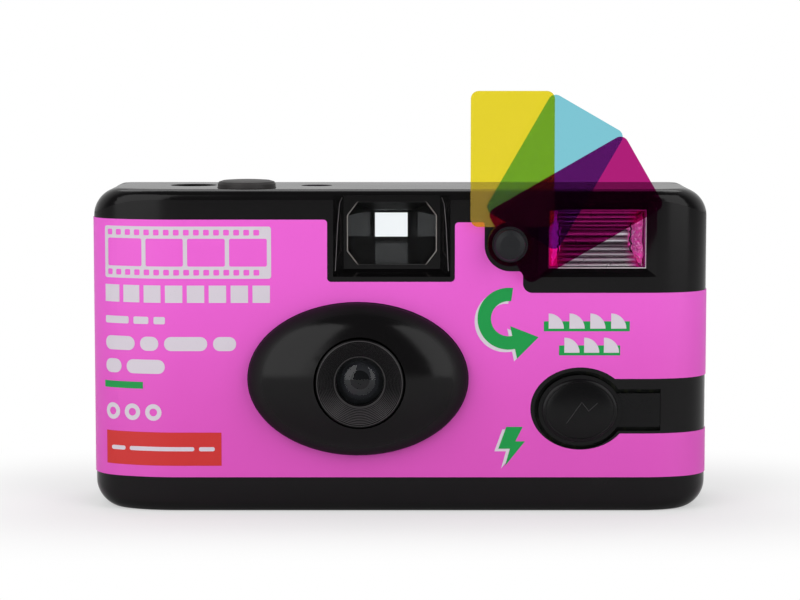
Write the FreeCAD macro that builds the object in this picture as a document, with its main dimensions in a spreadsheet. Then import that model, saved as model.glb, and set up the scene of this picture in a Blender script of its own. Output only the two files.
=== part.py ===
import FreeCAD, Part
import math
import os
import re
import Sketcher
from FreeCAD import Rotation, Vector

# Reloadable 35 mm film camera with a swing-out set of flash filters, in millimetres.
# +X is to the right seen from the front, -Y is the front, +Z is up.
# The origin lies on the base, midway along it, between the front and the back face.

# Casing
body_width = 118.0
body_height = 61.6
front_depth = 15.0
back_depth = 16.0
wall = 1.6
parting_depth = 9.0
door_over_cartridge = 0.3
seam = 0.15
left_sweep_radius = 28.0
left_sweep_turn = 25.0
right_sweep_radius = 20.0
right_sweep_turn = 20.0
corner_radius = 9.0
rear_corner_radius = 6.0
front_edge_radius = 2.0
rear_edge_radius = 2.5
top_side_radius = 5.5
base_side_radius = 5.0
# Film, cartridge and chambers
lens_x = -7.6
film_centre_height = 25.5
film_width = 35.0
film_thickness = 0.14
film_plane_depth = 12.0
gate_width = 36.0
gate_height = 24.0
gate_plate_thickness = 1.5
rail_height = 0.3
frame_wall = 1.2
cartridge_x = -40.2
spindle_depth = 1.6
cartridge_radius = 12.5
cartridge_length = 47.0
cartridge_sheet = 0.3
spool_radius = 5.4
chamber_clearance = 0.4
supply_x = 27.5
supply_chamber_radius = 10.7
roll_radius = 9.6
spool_core_radius = 5.5
key_radius = 6.4
# Running clearances
shaft_gap = 0.05
part_gap = 0.2
moving_gap = 0.3
# Film advance
wheel_radius = 14.6
wheel_gap = 0.85
wheel_thickness = 4.5
wheel_teeth = 60
wheel_tooth_depth = 0.5
wheel_boss_radius = 3.6
top_plate_thickness = 1.2
sprocket_offset = 11.7
sprocket_radius = 5.6
sprocket_tooth_height = 1.3
perforation_inset = 2.0
shaft_radius = 1.5
counter_x = -18.2
counter_depth = 5.3
counter_radius = 8.3
counter_gap = 0.6
counter_thickness = 0.6
counter_window_x = -16.2
counter_window_depth = 0.5
counter_window_radius = 3.0
wheel_window_radius = 4.5
# Lens and shutter
bulge_x = -8.0
bulge_z = 25.6
bulge_half_width = 20.9
bulge_half_height = 14.55
bulge_step = 0.7
bulge_rise = 6.9
bezel_radius = 8.3
bezel_gap = 0.4
bezel_front = 22.0
bezel_bore = 4.75
lens_radius = 4.4
lens_front_curve = 7.0
lens_back_curve = 14.0
aperture_radius = 1.6
blade_thickness = 0.3
blade_radius = 3.6
blade_pivot_x = -7.9
blade_pivot_z = 7.5
pivot_radius = 1.0
lever_pivot_x = -20.8
lever_pivot_z = 45.9
lever_thickness = 0.6
button_x = -29.4
button_depth = -7.0
button_radius = 5.55
button_proud = 1.5
button_travel = 1.5
stem_offset_x = 2.4
stem_offset_y = -3.6
stem_radius = 0.8
# Viewfinder
finder_x = -1.55
finder_z = 53.05
finder_width = 17.0
finder_height = 12.0
finder_corner = 2.0
eyepiece_width = 6.7
eyepiece_height = 4.9
recess_width = 22.0
recess_bottom = 45.1
recess_top = 60.5
finder_plate_depth = 10.5
finder_plate_thickness = 1.0
# Flash
flash_x = 37.5
flash_z = 52.1
flash_width = 18.6
flash_height = 11.2
flash_frame_width = 22.7
flash_frame_height = 14.2
flash_plate_depth = 13.3
flash_tube_radius = 1.5
reflector_wall = 0.6
reflector_depth = 6.0
charge_x = 34.2
charge_z = 19.6
charge_half_width = 7.9
charge_half_height = 6.75
charge_gap = 0.75
charge_arm_height = 6.4
charge_arm_gap = 0.8
charge_arm_end = 49.6
board_depth = 11.9
board_thickness = 1.2
capacitor_radius = 5.0
capacitor_length = 24.0
# Battery
battery_x = 48.8
battery_depth = 1.0
battery_radius = 7.25
battery_length = 50.5
battery_bottom = 4.2
# Flash filters
filter_x = 20.7
filter_z = 51.4
leaf_width = 15.8
leaf_inner = 3.2
long_leaf_inner = -0.8
leaf_offset = 0.5
leaf_outer = 28.8
leaf_thickness = 0.4
leaf_pitch = 0.55
leaf_corner = 1.5
ear_radius = 4.15
filter_pin_radius = 1.9
filter_knob_radius = 3.05
filter_boss_proud = 0.8
# Film door
hinge_inset = 0.8
knuckle_radius = 1.25
knuckle_clearance = 0.3
hinge_pin_radius = 0.6
knuckle_length = 6.0
knuckle_pitch = 16.0
knuckle_start = 8.0
label_thickness = 0.15
latch_travel = 2.5
screw_radius = 0.9
screw_head_radius = 1.6

# Every size above goes into a sheet under its own name, and the model's formulas read it there
size = {name: float(value) for name, value in globals().items() if isinstance(value, (int, float))}
derived = {}
doc = FreeCAD.newDocument("film_camera")
sheet = doc.addObject("Spreadsheet::Sheet", "Sizes")
for row, (name, value) in enumerate(size.items(), 1):
    sheet.set("A%d" % row, str(value))
    sheet.setAlias("A%d" % row, name)
doc.recompute()


def name_for(name, text):
    """Names a size that is worked out from the driving sizes."""
    derived[name] = "(" + bound(text) + ")"


def bound(text):
    """Turns the plain names in a formula into references to the sheet."""

    def reference(match):
        word = match.group()
        if word in size:
            return "Sizes." + word
        return derived.get(word, word)

    return re.sub(r"[a-z][a-z_0-9]*", reference, text)


name_for("half_width", "body_width / 2")
name_for("front", "-front_depth")
name_for("inner_front", "front + wall")
name_for("inner_back", "back_depth - wall")
name_for("inner_top", "body_height - wall")
name_for("film_bottom", "film_centre_height - film_width / 2")
name_for("film_top", "film_centre_height + film_width / 2")
name_for("gate_plate_back", "film_plane_depth - rail_height")
name_for("gate_plate_front", "gate_plate_back - gate_plate_thickness")
name_for("cartridge_bottom", "film_centre_height - cartridge_length / 2")
name_for("cartridge_top", "film_centre_height + cartridge_length / 2")
name_for("chamber_radius", "cartridge_radius + chamber_clearance")
name_for("door_height", "cartridge_top + door_over_cartridge")
name_for("top_plate_bottom", "door_height + seam")
name_for("top_plate_top", "top_plate_bottom + top_plate_thickness")
name_for("wheel_bottom", "top_plate_top + wheel_gap")
name_for("counter_bottom", "wheel_bottom + wheel_thickness + counter_gap")
name_for("sprocket_height", "film_top - perforation_inset")
name_for("sprocket_x", "lens_x - sprocket_offset")
name_for("sprocket_depth", "film_plane_depth - sprocket_radius - 0.45")
name_for("hinge_x", "-half_width + hinge_inset")
name_for("stem_x", "button_x + stem_offset_x")
name_for("stem_y", "button_depth + stem_offset_y")
name_for("plate_front", "-11.5")
name_for("plate_back", "plate_front + frame_wall")
name_for("blade_front", "plate_front - 0.7")
name_for("mount_back", "blade_front - 0.2")
name_for("mount_front", "-bezel_front + 3.8")
name_for("leaf_front", "front - filter_boss_proud - 0.15 - leaf_thickness - 2 * leaf_pitch")
name_for("leaf_back", "front - filter_boss_proud - 0.15")
name_for("tube_inner", "battery_radius + chamber_clearance - 0.1")
name_for("tube_outer", "tube_inner + 0.7")
name_for("finder_back", "inner_back - 1.8")


# Primitives and booleans whose sizes are bound to the sheet
def block(label, x, y, z):
    """A box between pairs of formulas."""
    box = doc.addObject("Part::Box", label)
    for prop, (low, high) in zip(("Length", "Width", "Height"), (x, y, z)):
        box.setExpression(prop, bound("(%s) - (%s)" % (high, low)))
    for axis, (low, high) in zip("xyz", (x, y, z)):
        box.setExpression("Placement.Base." + axis, bound(low))
    return box


turn_to = {"x": Rotation(Vector(0, 1, 0), 90), "y": Rotation(Vector(1, 0, 0), -90), "z": Rotation()}


def rod(label, axis, centre, radius, low, high):
    """A cylinder along an axis; centre gives its other two coordinates in order."""
    cylinder = doc.addObject("Part::Cylinder", label)
    cylinder.Placement = FreeCAD.Placement(Vector(), turn_to[axis])
    cylinder.setExpression("Radius", bound(radius))
    cylinder.setExpression("Height", bound("(%s) - (%s)" % (high, low)))
    others = [letter for letter in "xyz" if letter != axis]
    for letter, text in zip(others, centre):
        cylinder.setExpression("Placement.Base." + letter, bound(text))
    cylinder.setExpression("Placement.Base." + axis, bound(low))
    return cylinder


def frustum(label, x, z, x_far, z_far, y):
    """A four-sided block along Y whose near face is x by z and far face x_far by z_far."""
    wedge = doc.addObject("Part::Wedge", label)
    near_far = {"Xmin": x[0], "Xmax": x[1], "Zmin": z[0], "Zmax": z[1], "Ymin": y[0], "Ymax": y[1],
                "X2min": x_far[0], "X2max": x_far[1], "Z2min": z_far[0], "Z2max": z_far[1]}
    for prop, text in near_far.items():
        wedge.setExpression(prop, bound(text))
    return wedge


def oval(label, centre, half, low, high):
    """An upright elliptic plate from low to high along Y."""
    ring = doc.addObject("Part::Ellipse", label + "_ring")
    ring.Placement = FreeCAD.Placement(Vector(), Rotation(Vector(1, 0, 0), 90))
    ring.setExpression("MajorRadius", bound(half[0]))
    ring.setExpression("MinorRadius", bound(half[1]))
    for letter, text in zip("xyz", (centre[0], low, centre[1])):
        ring.setExpression("Placement.Base." + letter, bound(text))
    plate = doc.addObject("Part::Extrusion", label)
    plate.Base = ring
    plate.DirMode = "Custom"
    plate.Dir = Vector(0, 1, 0)
    plate.Solid = True
    plate.setExpression("LengthFwd", bound("(%s) - (%s)" % (high, low)))
    return plate


def dome(label, centre, half, rise, low):
    """Half an ellipsoid that rises towards the front from the plane y = low."""
    cap = doc.addObject("Part::Ellipsoid", label)
    cap.Placement = FreeCAD.Placement(Vector(), Rotation(Vector(1, 0, 0), 90))
    cap.Angle1 = 0
    cap.setExpression("Radius1", bound(rise))
    cap.setExpression("Radius2", bound(half[0]))
    cap.setExpression("Radius3", bound(half[1]))
    for letter, text in zip("xyz", (centre[0], low, centre[1])):
        cap.setExpression("Placement.Base." + letter, bound(text))
    return cap


def fuse(label, *shapes):
    joined = doc.addObject("Part::MultiFuse", label)
    joined.Shapes = list(shapes)
    return joined


def cut(label, base, *tools):
    result = doc.addObject("Part::Cut", label)
    result.Base = base
    result.Tool = tools[0] if len(tools) == 1 else fuse(label + "_tools", *tools)
    return result


def common(label, first, second):
    result = doc.addObject("Part::Common", label)
    result.Base = first
    result.Tool = second
    return result


class Piece:
    """A sub-part made from its own sketches, each vertex tied to the sheet."""

    def __init__(self, label):
        self.label = label
        self.body = doc.addObject("PartDesign::Body", label)
        self.count = 0

    def sketch(self, plane, outline, offset):
        self.count += 1
        drawing = self.body.newObject("Sketcher::SketchObject", "%s_sketch_%d" % (self.label, self.count))
        roles = [f for f in self.body.Origin.OriginFeatures if f.Role == plane.upper() + "_Plane"]
        drawing.AttachmentSupport = [(roles[0], "")]
        drawing.MapMode = "FlatFace"
        drawing.setExpression("AttachmentOffset.Base.z", bound(offset))
        if outline[0] == "circle":
            self.draw_circle(drawing, outline[1], outline[2], outline[3])
        else:
            self.draw_polygon(drawing, outline)
        return drawing

    def pin_point(self, drawing, edge, point, x, y):
        """Holds one point at x and y from the sketch's origin."""
        for kind, text, axis in (("DistanceX", x, -2), ("DistanceY", y, -1)):
            if text == "0":
                drawing.addConstraint(Sketcher.Constraint("PointOnObject", edge, point, axis))
            else:
                index = drawing.addConstraint(Sketcher.Constraint(kind, -1, 1, edge, point, 1.0))
                drawing.setExpression("Constraints[%d]" % index, bound(text))

    def draw_circle(self, drawing, x, y, radius):
        edge = drawing.addGeometry(Part.Circle(Vector(1, 1, 0), Vector(0, 0, 1), 1.0), False)
        index = drawing.addConstraint(Sketcher.Constraint("Radius", edge, 1.0))
        drawing.setExpression("Constraints[%d]" % index, bound(radius))
        self.pin_point(drawing, edge, 3, x, y)

    def draw_polygon(self, drawing, outline):
        count = len(outline)
        angles = [2 * math.pi * i / count for i in range(count)]
        ring = [Vector(math.cos(a), math.sin(a), 0) for a in angles]
        for i in range(count):
            drawing.addGeometry(Part.LineSegment(ring[i], ring[(i + 1) % count]), False)
        for i in range(count):
            drawing.addConstraint(Sketcher.Constraint("Coincident", i, 2, (i + 1) % count, 1))
        for i, (x, y) in enumerate(outline):
            self.pin_point(drawing, i, 1, x, y)

    def pad(self, plane, outline, low, high):
        """Adds the outline between two heights along the plane's axis."""
        offset = "-(%s)" % high if plane == "xz" else low
        feature = self.body.newObject("PartDesign::Pad", "%s_pad_%d" % (self.label, self.count + 1))
        feature.Profile = self.sketch(plane, outline, offset)
        feature.setExpression("Length", bound("(%s) - (%s)" % (high, low)))
        return self

    def pocket(self, plane, outline, low, high):
        """Removes the outline between two heights along the plane's axis."""
        offset = "-(%s)" % low if plane == "xz" else high
        feature = self.body.newObject("PartDesign::Pocket", "%s_pocket_%d" % (self.label, self.count + 1))
        feature.Profile = self.sketch(plane, outline, offset)
        feature.setExpression("Length", bound("(%s) - (%s)" % (high, low)))
        return self

    def turn(self, plane, outline):
        """Turns a half section about the sketch's upright axis."""
        drawing = self.sketch(plane, outline, "0")
        feature = self.body.newObject("PartDesign::Revolution", "%s_turn_%d" % (self.label, self.count))
        feature.Profile = drawing
        feature.ReferenceAxis = (drawing, ["V_Axis"])
        feature.Angle = 360.0
        return self

    def at(self, x, y, z):
        for letter, text in zip("xyz", (x, y, z)):
            if text != "0":
                self.body.setExpression("Placement.Base." + letter, bound(text))
        return self.body


def rectangle(x, z):
    return [(x[0], z[0]), (x[1], z[0]), (x[1], z[1]), (x[0], z[1])]


# The casing's outer and inner forms: a plan outline raised to height, its edges rounded
def arc(centre, radius, start, end):
    points = []
    for angle in (start, (start + end) / 2, end):
        turn = math.radians(angle)
        points.append(Vector(centre[0] + radius * math.cos(turn), centre[1] + radius * math.sin(turn), 0))
    return Part.Arc(*points)


def front_corner(side, sweep, turn, inset):
    """A wide arc that leaves the front face, then a tight one that meets the side."""
    corner = size["corner_radius"]
    width = sweep * math.sin(math.radians(turn)) + corner * (1 - math.sin(math.radians(turn)))
    first = (side * (size["body_width"] / 2 - width), sweep - size["front_depth"])
    heading = -90 + side * turn
    reach = sweep - corner
    second = (first[0] + reach * math.cos(math.radians(heading)),
              first[1] + reach * math.sin(math.radians(heading)))
    wide = arc(first, sweep - inset, -90, heading)
    tight = arc(second, corner - inset, heading, 0 if side > 0 else -180)
    return wide, tight


def casing_plan(inset):
    left_wide, left_tight = front_corner(-1, size["left_sweep_radius"], size["left_sweep_turn"], inset)
    right_wide, right_tight = front_corner(1, size["right_sweep_radius"], size["right_sweep_turn"], inset)
    radius = size["rear_corner_radius"]
    across = size["body_width"] / 2 - radius
    depth = size["back_depth"] - radius
    rear_right = arc((across, depth), radius - inset, 0, 90)
    rear_left = arc((-across, depth), radius - inset, 90, 180)
    curves = [Part.LineSegment(left_wide.StartPoint, right_wide.StartPoint), right_wide, right_tight,
              Part.LineSegment(right_tight.EndPoint, rear_right.StartPoint), rear_right,
              Part.LineSegment(rear_right.EndPoint, rear_left.StartPoint), rear_left,
              Part.LineSegment(rear_left.EndPoint, left_tight.EndPoint), left_tight, left_wide]
    return Part.Wire(Part.__sortEdges__([curve.toShape() for curve in curves]))


def casing_block(label, inset, rounded=True):
    """The casing's form, its surface set in by inset, with rounded top and base edges."""
    raised = Part.Face(casing_plan(inset)).extrude(Vector(0, 0, size["body_height"] - 2 * inset))
    raised.translate(Vector(0, 0, inset))
    plain = doc.addObject("Part::Feature", label + "_plain")
    plain.Shape = raised
    if not rounded:
        return plain

    def edge_radius(point, side_radius):
        front_edge = size["front_edge_radius"] - inset
        if point.y > size["back_depth"] - inset - 0.01:
            return size["rear_edge_radius"] - inset
        if abs(point.x) > size["body_width"] / 2 - inset - 0.01:
            return side_radius - inset
        if point.y < inset - size["front_depth"] + 0.01:
            return front_edge
        return front_edge + (side_radius - inset - front_edge) / 4

    edges = []
    for number, edge in enumerate(raised.Edges, 1):
        if edge.BoundBox.ZLength > 1:
            continue
        on_top = edge.BoundBox.ZMax > size["body_height"] / 2
        side_radius = size["top_side_radius"] if on_top else size["base_side_radius"]
        ends = [edge.valueAt(edge.FirstParameter), edge.valueAt(edge.LastParameter)]
        edges.append((number, edge_radius(ends[0], side_radius), edge_radius(ends[1], side_radius)))
    rounded_block = doc.addObject("Part::Fillet", label)
    rounded_block.Base = plain
    rounded_block.Edges = edges
    return rounded_block


casing_outer = casing_block("casing_outer", 0.0)
casing_inner = casing_block("casing_inner", size["wall"])
casing_shell = cut("casing_shell", casing_outer, casing_inner)


def casing_part(label, x, y, z):
    """The stretch of the casing wall inside a box."""
    return common(label, casing_shell, block(label + "_bounds", x, y, z))


whole_x = ("-half_width - 5", "half_width + 5")
whole_z = ("-5", "body_height + 5")
hinge_axis = ("hinge_x", "parting_depth")
knuckle_count = 3


def knuckles(label, first_z, pitch, length, count):
    """Hinge barrels up the casing's left rear edge."""
    barrels = []
    for i in range(count):
        low = "%s + %d * (%s)" % (first_z, i, pitch)
        barrels.append(rod("%s_knuckle_%d" % (label, i + 1), "z", hinge_axis, "knuckle_radius",
                           low, low + " + " + length))
    return barrels


# Front cover: front, sides, top and base to the parting plane, with the lens bulge
bulge_centre = ("bulge_x", "bulge_z")
bulge_half = ("bulge_half_width", "bulge_half_height")
bulge_inner = ("bulge_half_width - wall", "bulge_half_height - wall")
front_wall = casing_part("front_wall", whole_x, ("front - 1", "parting_depth"), whole_z)
bulge = fuse("bulge", oval("bulge_rim", bulge_centre, bulge_half, "front - bulge_step", "inner_front"),
             dome("bulge_dome", bulge_centre, bulge_half, "bulge_rise", "front - bulge_step"))
bulge_hollow = fuse("bulge_hollow",
                    oval("bulge_hollow_rim", bulge_centre, bulge_inner, "front - bulge_step",
                         "inner_front + 1"),
                    dome("bulge_hollow_dome", bulge_centre, bulge_inner, "bulge_rise - wall",
                         "front - bulge_step"))
finder_surround = block("finder_surround",
                        ("finder_x - recess_width / 2 - wall", "finder_x + recess_width / 2 + wall"),
                        ("front + 0.5", "-finder_plate_depth + finder_plate_thickness"),
                        ("recess_bottom - wall", "inner_top + 0.5"))
finder_recess = frustum("finder_recess",
                        ("finder_x - recess_width / 2 - 0.2", "finder_x + recess_width / 2 + 0.2"),
                        ("recess_bottom - 0.1", "recess_top"),
                        ("finder_x - finder_width / 2 - 0.7", "finder_x + finder_width / 2 + 0.7"),
                        ("recess_bottom + 1.1", "recess_top - 0.3"),
                        ("front - 0.2", "-finder_plate_depth"))
finder_left = "finder_x - finder_width / 2"
finder_right = "finder_x + finder_width / 2"
finder_low = "finder_z - finder_height / 2"
finder_high = "finder_z + finder_height / 2"
finder_opening = Piece("finder_opening").pad("xz", [
    (finder_left, finder_low + " + finder_corner * 1.3"), (finder_left + " + finder_corner", finder_low),
    (finder_right + " - finder_corner", finder_low), (finder_right, finder_low + " + finder_corner * 1.3"),
    (finder_right, finder_high + " - finder_corner * 1.3"), (finder_right + " - finder_corner", finder_high),
    (finder_left + " + finder_corner", finder_high), (finder_left, finder_high + " - finder_corner * 1.3"),
], "-finder_plate_depth - 0.5", "-finder_plate_depth + 3").body
flash_sides = ("flash_x - flash_width / 2", "flash_x + flash_width / 2")
flash_heights = ("flash_z - flash_height / 2", "flash_z + flash_height / 2")
flash_surround = block("flash_surround",
                       ("flash_x - flash_frame_width / 2 - 1", "flash_x + flash_frame_width / 2 + 1"),
                       ("front + 1", "-flash_plate_depth + 0.8"),
                       ("flash_z - flash_frame_height / 2 - 1", "flash_z + flash_frame_height / 2 + 1"))
flash_recess = frustum("flash_recess",
                       ("flash_x - flash_frame_width / 2 - 0.2", "flash_x + flash_frame_width / 2 + 0.2"),
                       ("flash_z - flash_frame_height / 2 - 0.2", "flash_z + flash_frame_height / 2 + 0.2"),
                       flash_sides, flash_heights, ("front - 0.2", "-flash_plate_depth"))
flash_opening = block("flash_opening", flash_sides, ("-flash_plate_depth - 0.5", "-flash_plate_depth + 2"),
                      flash_heights)
charge_centre = ("charge_x", "charge_z")
charge_opening = fuse(
    "charge_opening",
    oval("charge_opening_oval", charge_centre,
         ("charge_half_width + charge_gap", "charge_half_height + charge_gap"), "front - 1", "inner_front + 1"),
    block("charge_opening_arm", ("charge_x", "charge_arm_end"), ("front - 1", "inner_front + 1"),
          ("charge_z - charge_arm_height / 2 - charge_arm_gap",
           "charge_z + charge_arm_height / 2 + charge_arm_gap")))
filter_centre = ("filter_x", "filter_z")
filter_boss = rod("filter_boss", "y", filter_centre, "ear_radius + 0.2", "front - filter_boss_proud",
                  "inner_front")
filter_socket = rod("filter_socket", "y", filter_centre, "filter_pin_radius + 1.2", "inner_front - 0.5",
                    "inner_front + 1.2")
button_guide = block("button_guide", ("stem_x - 2.4", "stem_x + 2.4"), ("inner_front - 0.5", "stem_y + 2"),
                     ("wheel_bottom + wheel_thickness - 1.8", "wheel_bottom + wheel_thickness - 0.6"))
counter_post = rod("counter_post", "z", ("counter_x", "counter_depth"), "pivot_radius",
                   "counter_bottom + 0.1", "inner_top + 0.5")
# Screw posts run back from the front wall: two carry the inner frame, one the rear cover
frame_screws = (("lens_x + 20.9", "film_top + 3"), ("cartridge_x + 18.2", "film_bottom - 2.4"))
cover_screw = ("filter_x - 6.2", "filter_z + 4.1")
posts = [rod("frame_post_%d" % (i + 1), "y", centre, "screw_radius + 1.2", "inner_front - 0.5",
             "gate_plate_front") for i, centre in enumerate(frame_screws)]
posts.append(rod("cover_post", "y", cover_screw, "screw_radius + 1.2", "inner_front - 0.5", "inner_back"))
pilots = [rod("post_pilot_%d" % (i + 1), "y", centre, "screw_radius", "-2", "back_depth")
          for i, centre in enumerate(frame_screws + (cover_screw,))]
board_seats = (("filter_x - 2.2", "film_top - 3"), ("battery_x + 1.2", "film_bottom + 2"))
seats = [rod("board_seat_%d" % (i + 1), "y", centre, "1.2", "inner_front - 0.5", "-board_depth")
         for i, centre in enumerate(board_seats)]
hinge_relief = rod("hinge_relief", "z", hinge_axis, "knuckle_radius + knuckle_clearance", "-1",
                   "door_height + seam")
cover_knuckles = knuckles("cover", "knuckle_start", "knuckle_pitch", "knuckle_length", knuckle_count)
cover_webs = []
for i in range(knuckle_count):
    low = "knuckle_start + %d * knuckle_pitch" % i
    cover_webs.append(block("cover_web_%d" % (i + 1), ("-half_width + 0.1", "-half_width + wall - 0.1"),
                            ("parting_depth - 3", "parting_depth - 0.4"), (low, low + " + knuckle_length")))
battery_lid_x = ("battery_x - battery_radius - 0.1", "battery_x + battery_radius - 0.1")
battery_lid_y = ("battery_depth - battery_radius", "battery_depth + battery_radius - 0.2")
front_cover = cut(
    "front_cover",
    fuse("front_base", cut("front_hollowed", fuse("front_outside", front_wall, bulge),
                                 bulge_hollow, hinge_relief),
         finder_surround, flash_surround, filter_boss, filter_socket, button_guide, counter_post,
         *(posts + seats + cover_knuckles + cover_webs)),
    rod("bezel_opening", "y", ("lens_x", "film_centre_height"), "bezel_radius + bezel_gap",
        "-bezel_front - 2", "front"),
    finder_recess, finder_opening, flash_recess, flash_opening, charge_opening,
    rod("filter_pin_hole", "y", filter_centre, "filter_pin_radius", "front - 2", "inner_front + 2"),
    rod("button_opening", "z", ("button_x", "button_depth"), "button_radius + 0.15", "inner_top - 1",
        "body_height + 1"),
    rod("stem_opening", "z", ("stem_x", "stem_y"), "stem_radius + 0.1", "wheel_bottom", "inner_top - 1"),
    rod("wheel_window", "z", ("cartridge_x", "spindle_depth"), "wheel_window_radius", "inner_top - 1",
        "body_height + 1"),
    rod("counter_opening", "z", ("counter_window_x", "counter_window_depth"), "counter_window_radius",
        "inner_top - 1", "body_height + 1"),
    rod("key_opening", "z", ("supply_x", "spindle_depth"), "key_radius + part_gap", "-1", "wall + 1"),
    block("battery_opening", ("battery_x - battery_radius - 0.3", "battery_x + battery_radius + 0.25"),
          ("battery_depth - battery_radius - 0.2", "battery_depth + battery_radius"), ("-1", "wall + 1.5")),
    block("latch_slot", ("half_width - wall - 1", "half_width + 1"), ("parting_depth - 4", "parting_depth - 0.8"),
          ("3.3", "6.7 + latch_travel")),
    rod("cover_pin_hole", "z", hinge_axis, "hinge_pin_radius", "knuckle_start - 1", "door_height"),
    *pilots)

# Rear cover: the fixed strip above the film door, with the eyepiece and the thumbwheel notch
rear_wall = casing_part("rear_wall", whole_x, ("parting_depth", "back_depth + 1"),
                        ("door_height + seam", "body_height + 1"))
eyepiece_x = ("finder_x - 0.2 - eyepiece_width / 2", "finder_x - 0.2 + eyepiece_width / 2")
eyepiece_z = ("finder_z + 0.1 - eyepiece_height / 2", "finder_z + 0.1 + eyepiece_height / 2")
lamp_centre = ("filter_x + 1", "filter_z + 4.1")
rear_cover = cut("rear_cover", rear_wall,
                 frustum("eyepiece_opening", eyepiece_x, eyepiece_z,
                         (eyepiece_x[0] + " - 0.9", eyepiece_x[1] + " + 0.9"),
                         (eyepiece_z[0] + " - 0.9", eyepiece_z[1] + " + 0.9"),
                         ("inner_back - 0.2", "back_depth + 0.2")),
                 rod("thumb_notch", "z", ("cartridge_x", "spindle_depth"), "wheel_radius + 0.8",
                     "wheel_bottom - 0.6", "wheel_bottom + wheel_thickness + 0.6"),
                 rod("thumb_scoop", "y", ("cartridge_x", "wheel_bottom + wheel_thickness / 2"), "5",
                     "inner_back + 0.8", "back_depth + 1"),
                 rod("lamp_opening", "y", lamp_centre, "1.55", "inner_back - 1", "back_depth + 1"),
                 rod("cover_screw_hole", "y", cover_screw, "screw_radius", "parting_depth", "back_depth + 1"),
                 rod("cover_screw_sink", "y", cover_screw, "screw_head_radius + 0.1", "back_depth - 0.9",
                     "back_depth + 1"))

# Film door: swings on the hinge pin and carries the pressure plate
door_wall = casing_part("door_wall", whole_x, ("parting_depth + seam", "back_depth + 1"),
                        ("-1", "door_height"))
door_knuckle_length = "knuckle_pitch - knuckle_length - 2 * part_gap"
door_first = "knuckle_start + knuckle_length + part_gap"
door_reliefs = knuckles("relief", "knuckle_start - part_gap", "knuckle_pitch",
                        "knuckle_length + 2 * part_gap", knuckle_count)
for relief in door_reliefs:
    relief.setExpression("Radius", bound("knuckle_radius + knuckle_clearance"))
door_catch = block("door_catch", ("half_width - wall - 1.2", "half_width - wall + 0.3"),
                   ("parting_depth + 0.8", "parting_depth + 2.4"), ("7", "9.4"))
door_pads = [block("door_pad_%d" % i, (x, x + " + 2"), ("inner_back - 0.4", "inner_back + 0.3"),
                   ("film_centre_height - 6", "film_centre_height + 6"))
             for i, x in enumerate(("lens_x - 17", "lens_x + 15"), 1)]
film_door = cut("film_door",
                fuse("door_sum", cut("door_relieved", door_wall, *door_reliefs), door_catch,
                     *(door_pads + knuckles("door", door_first, "knuckle_pitch", door_knuckle_length,
                                            knuckle_count - 1))),
                rod("door_pin_hole", "z", hinge_axis, "hinge_pin_radius + shaft_gap", "knuckle_start - 1",
                    "door_height"))
rod("hinge_pin", "z", hinge_axis, "hinge_pin_radius", "knuckle_start + 0.2",
    "knuckle_start + %d * knuckle_pitch + knuckle_length - 0.2" % (knuckle_count - 1))

plate_z = ("film_bottom + 0.6", "film_top - 0.6")
pressure_plate = Piece("pressure_plate")
pressure_plate.pad("xz", rectangle(("lens_x - gate_width / 2 - 3", "lens_x + gate_width / 2 + 3"), plate_z),
                   "film_plane_depth + film_thickness + 0.1", "film_plane_depth + film_thickness + 1.1")
pressure_plate.pocket("xz", rectangle(("lens_x - gate_width / 2 - 4", "sprocket_x + 6.2"),
                                      ("sprocket_height - 1.6", "film_top")),
                      "film_plane_depth", "film_plane_depth + 2")
spring_front = "film_plane_depth + film_thickness + 1.1"
pressure_spring = Piece("pressure_spring").pad("xy", [
    ("lens_x - 15", "inner_back - 0.6"), ("lens_x - 5", spring_front), ("lens_x + 5", spring_front),
    ("lens_x + 15", "inner_back - 0.6"), ("lens_x + 15", "inner_back - 0.4"),
    ("lens_x + 5", spring_front + " + 0.2"), ("lens_x - 5", spring_front + " + 0.2"),
    ("lens_x - 15", "inner_back - 0.4")], "film_centre_height - 4", "film_centre_height + 4")

casing_part("battery_door", battery_lid_x, battery_lid_y, ("-1", "wall + 1.5"))

latch_x = ("half_width - wall - 1.3", "half_width - wall - 0.45")
fuse("door_latch",
     block("latch_slider", latch_x, ("parting_depth - 3.8", "parting_depth - 0.4"), ("4.2", "13")),
     block("latch_tab", ("half_width - wall - 0.6", "half_width + 1.2"),
           ("parting_depth - 3.7", "parting_depth - 1.1"), ("3.6", "6.4")),
     block("latch_hook", latch_x, ("parting_depth - 0.5", "parting_depth"), ("10", "13")))

# Inner frame: film gate and rails, light tunnel, chambers, shutter plate and bearings
cartridge_axis = ("cartridge_x", "spindle_depth")
supply_axis = ("supply_x", "spindle_depth")
battery_axis = ("battery_x", "battery_depth")
sprocket_axis = ("sprocket_x", "sprocket_depth")
supply_top = "film_top + 2.8"
blade_x = "lens_x + blade_pivot_x"
blade_z = "film_centre_height + blade_pivot_z"
lens_axis = ("lens_x", "film_centre_height")
pawl_x = "cartridge_x + wheel_radius + 1.3"
pawl_y = "spindle_depth - 8.1"


def tube(label, axis, centre, outer, inner, low, high):
    return cut(label, rod(label + "_outer", axis, centre, outer, low, high),
               rod(label + "_inner", axis, centre, inner, low + " - 0.5", high + " + 0.5"))


def about(centre, half):
    return (centre + " - " + half, centre + " + " + half)


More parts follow.
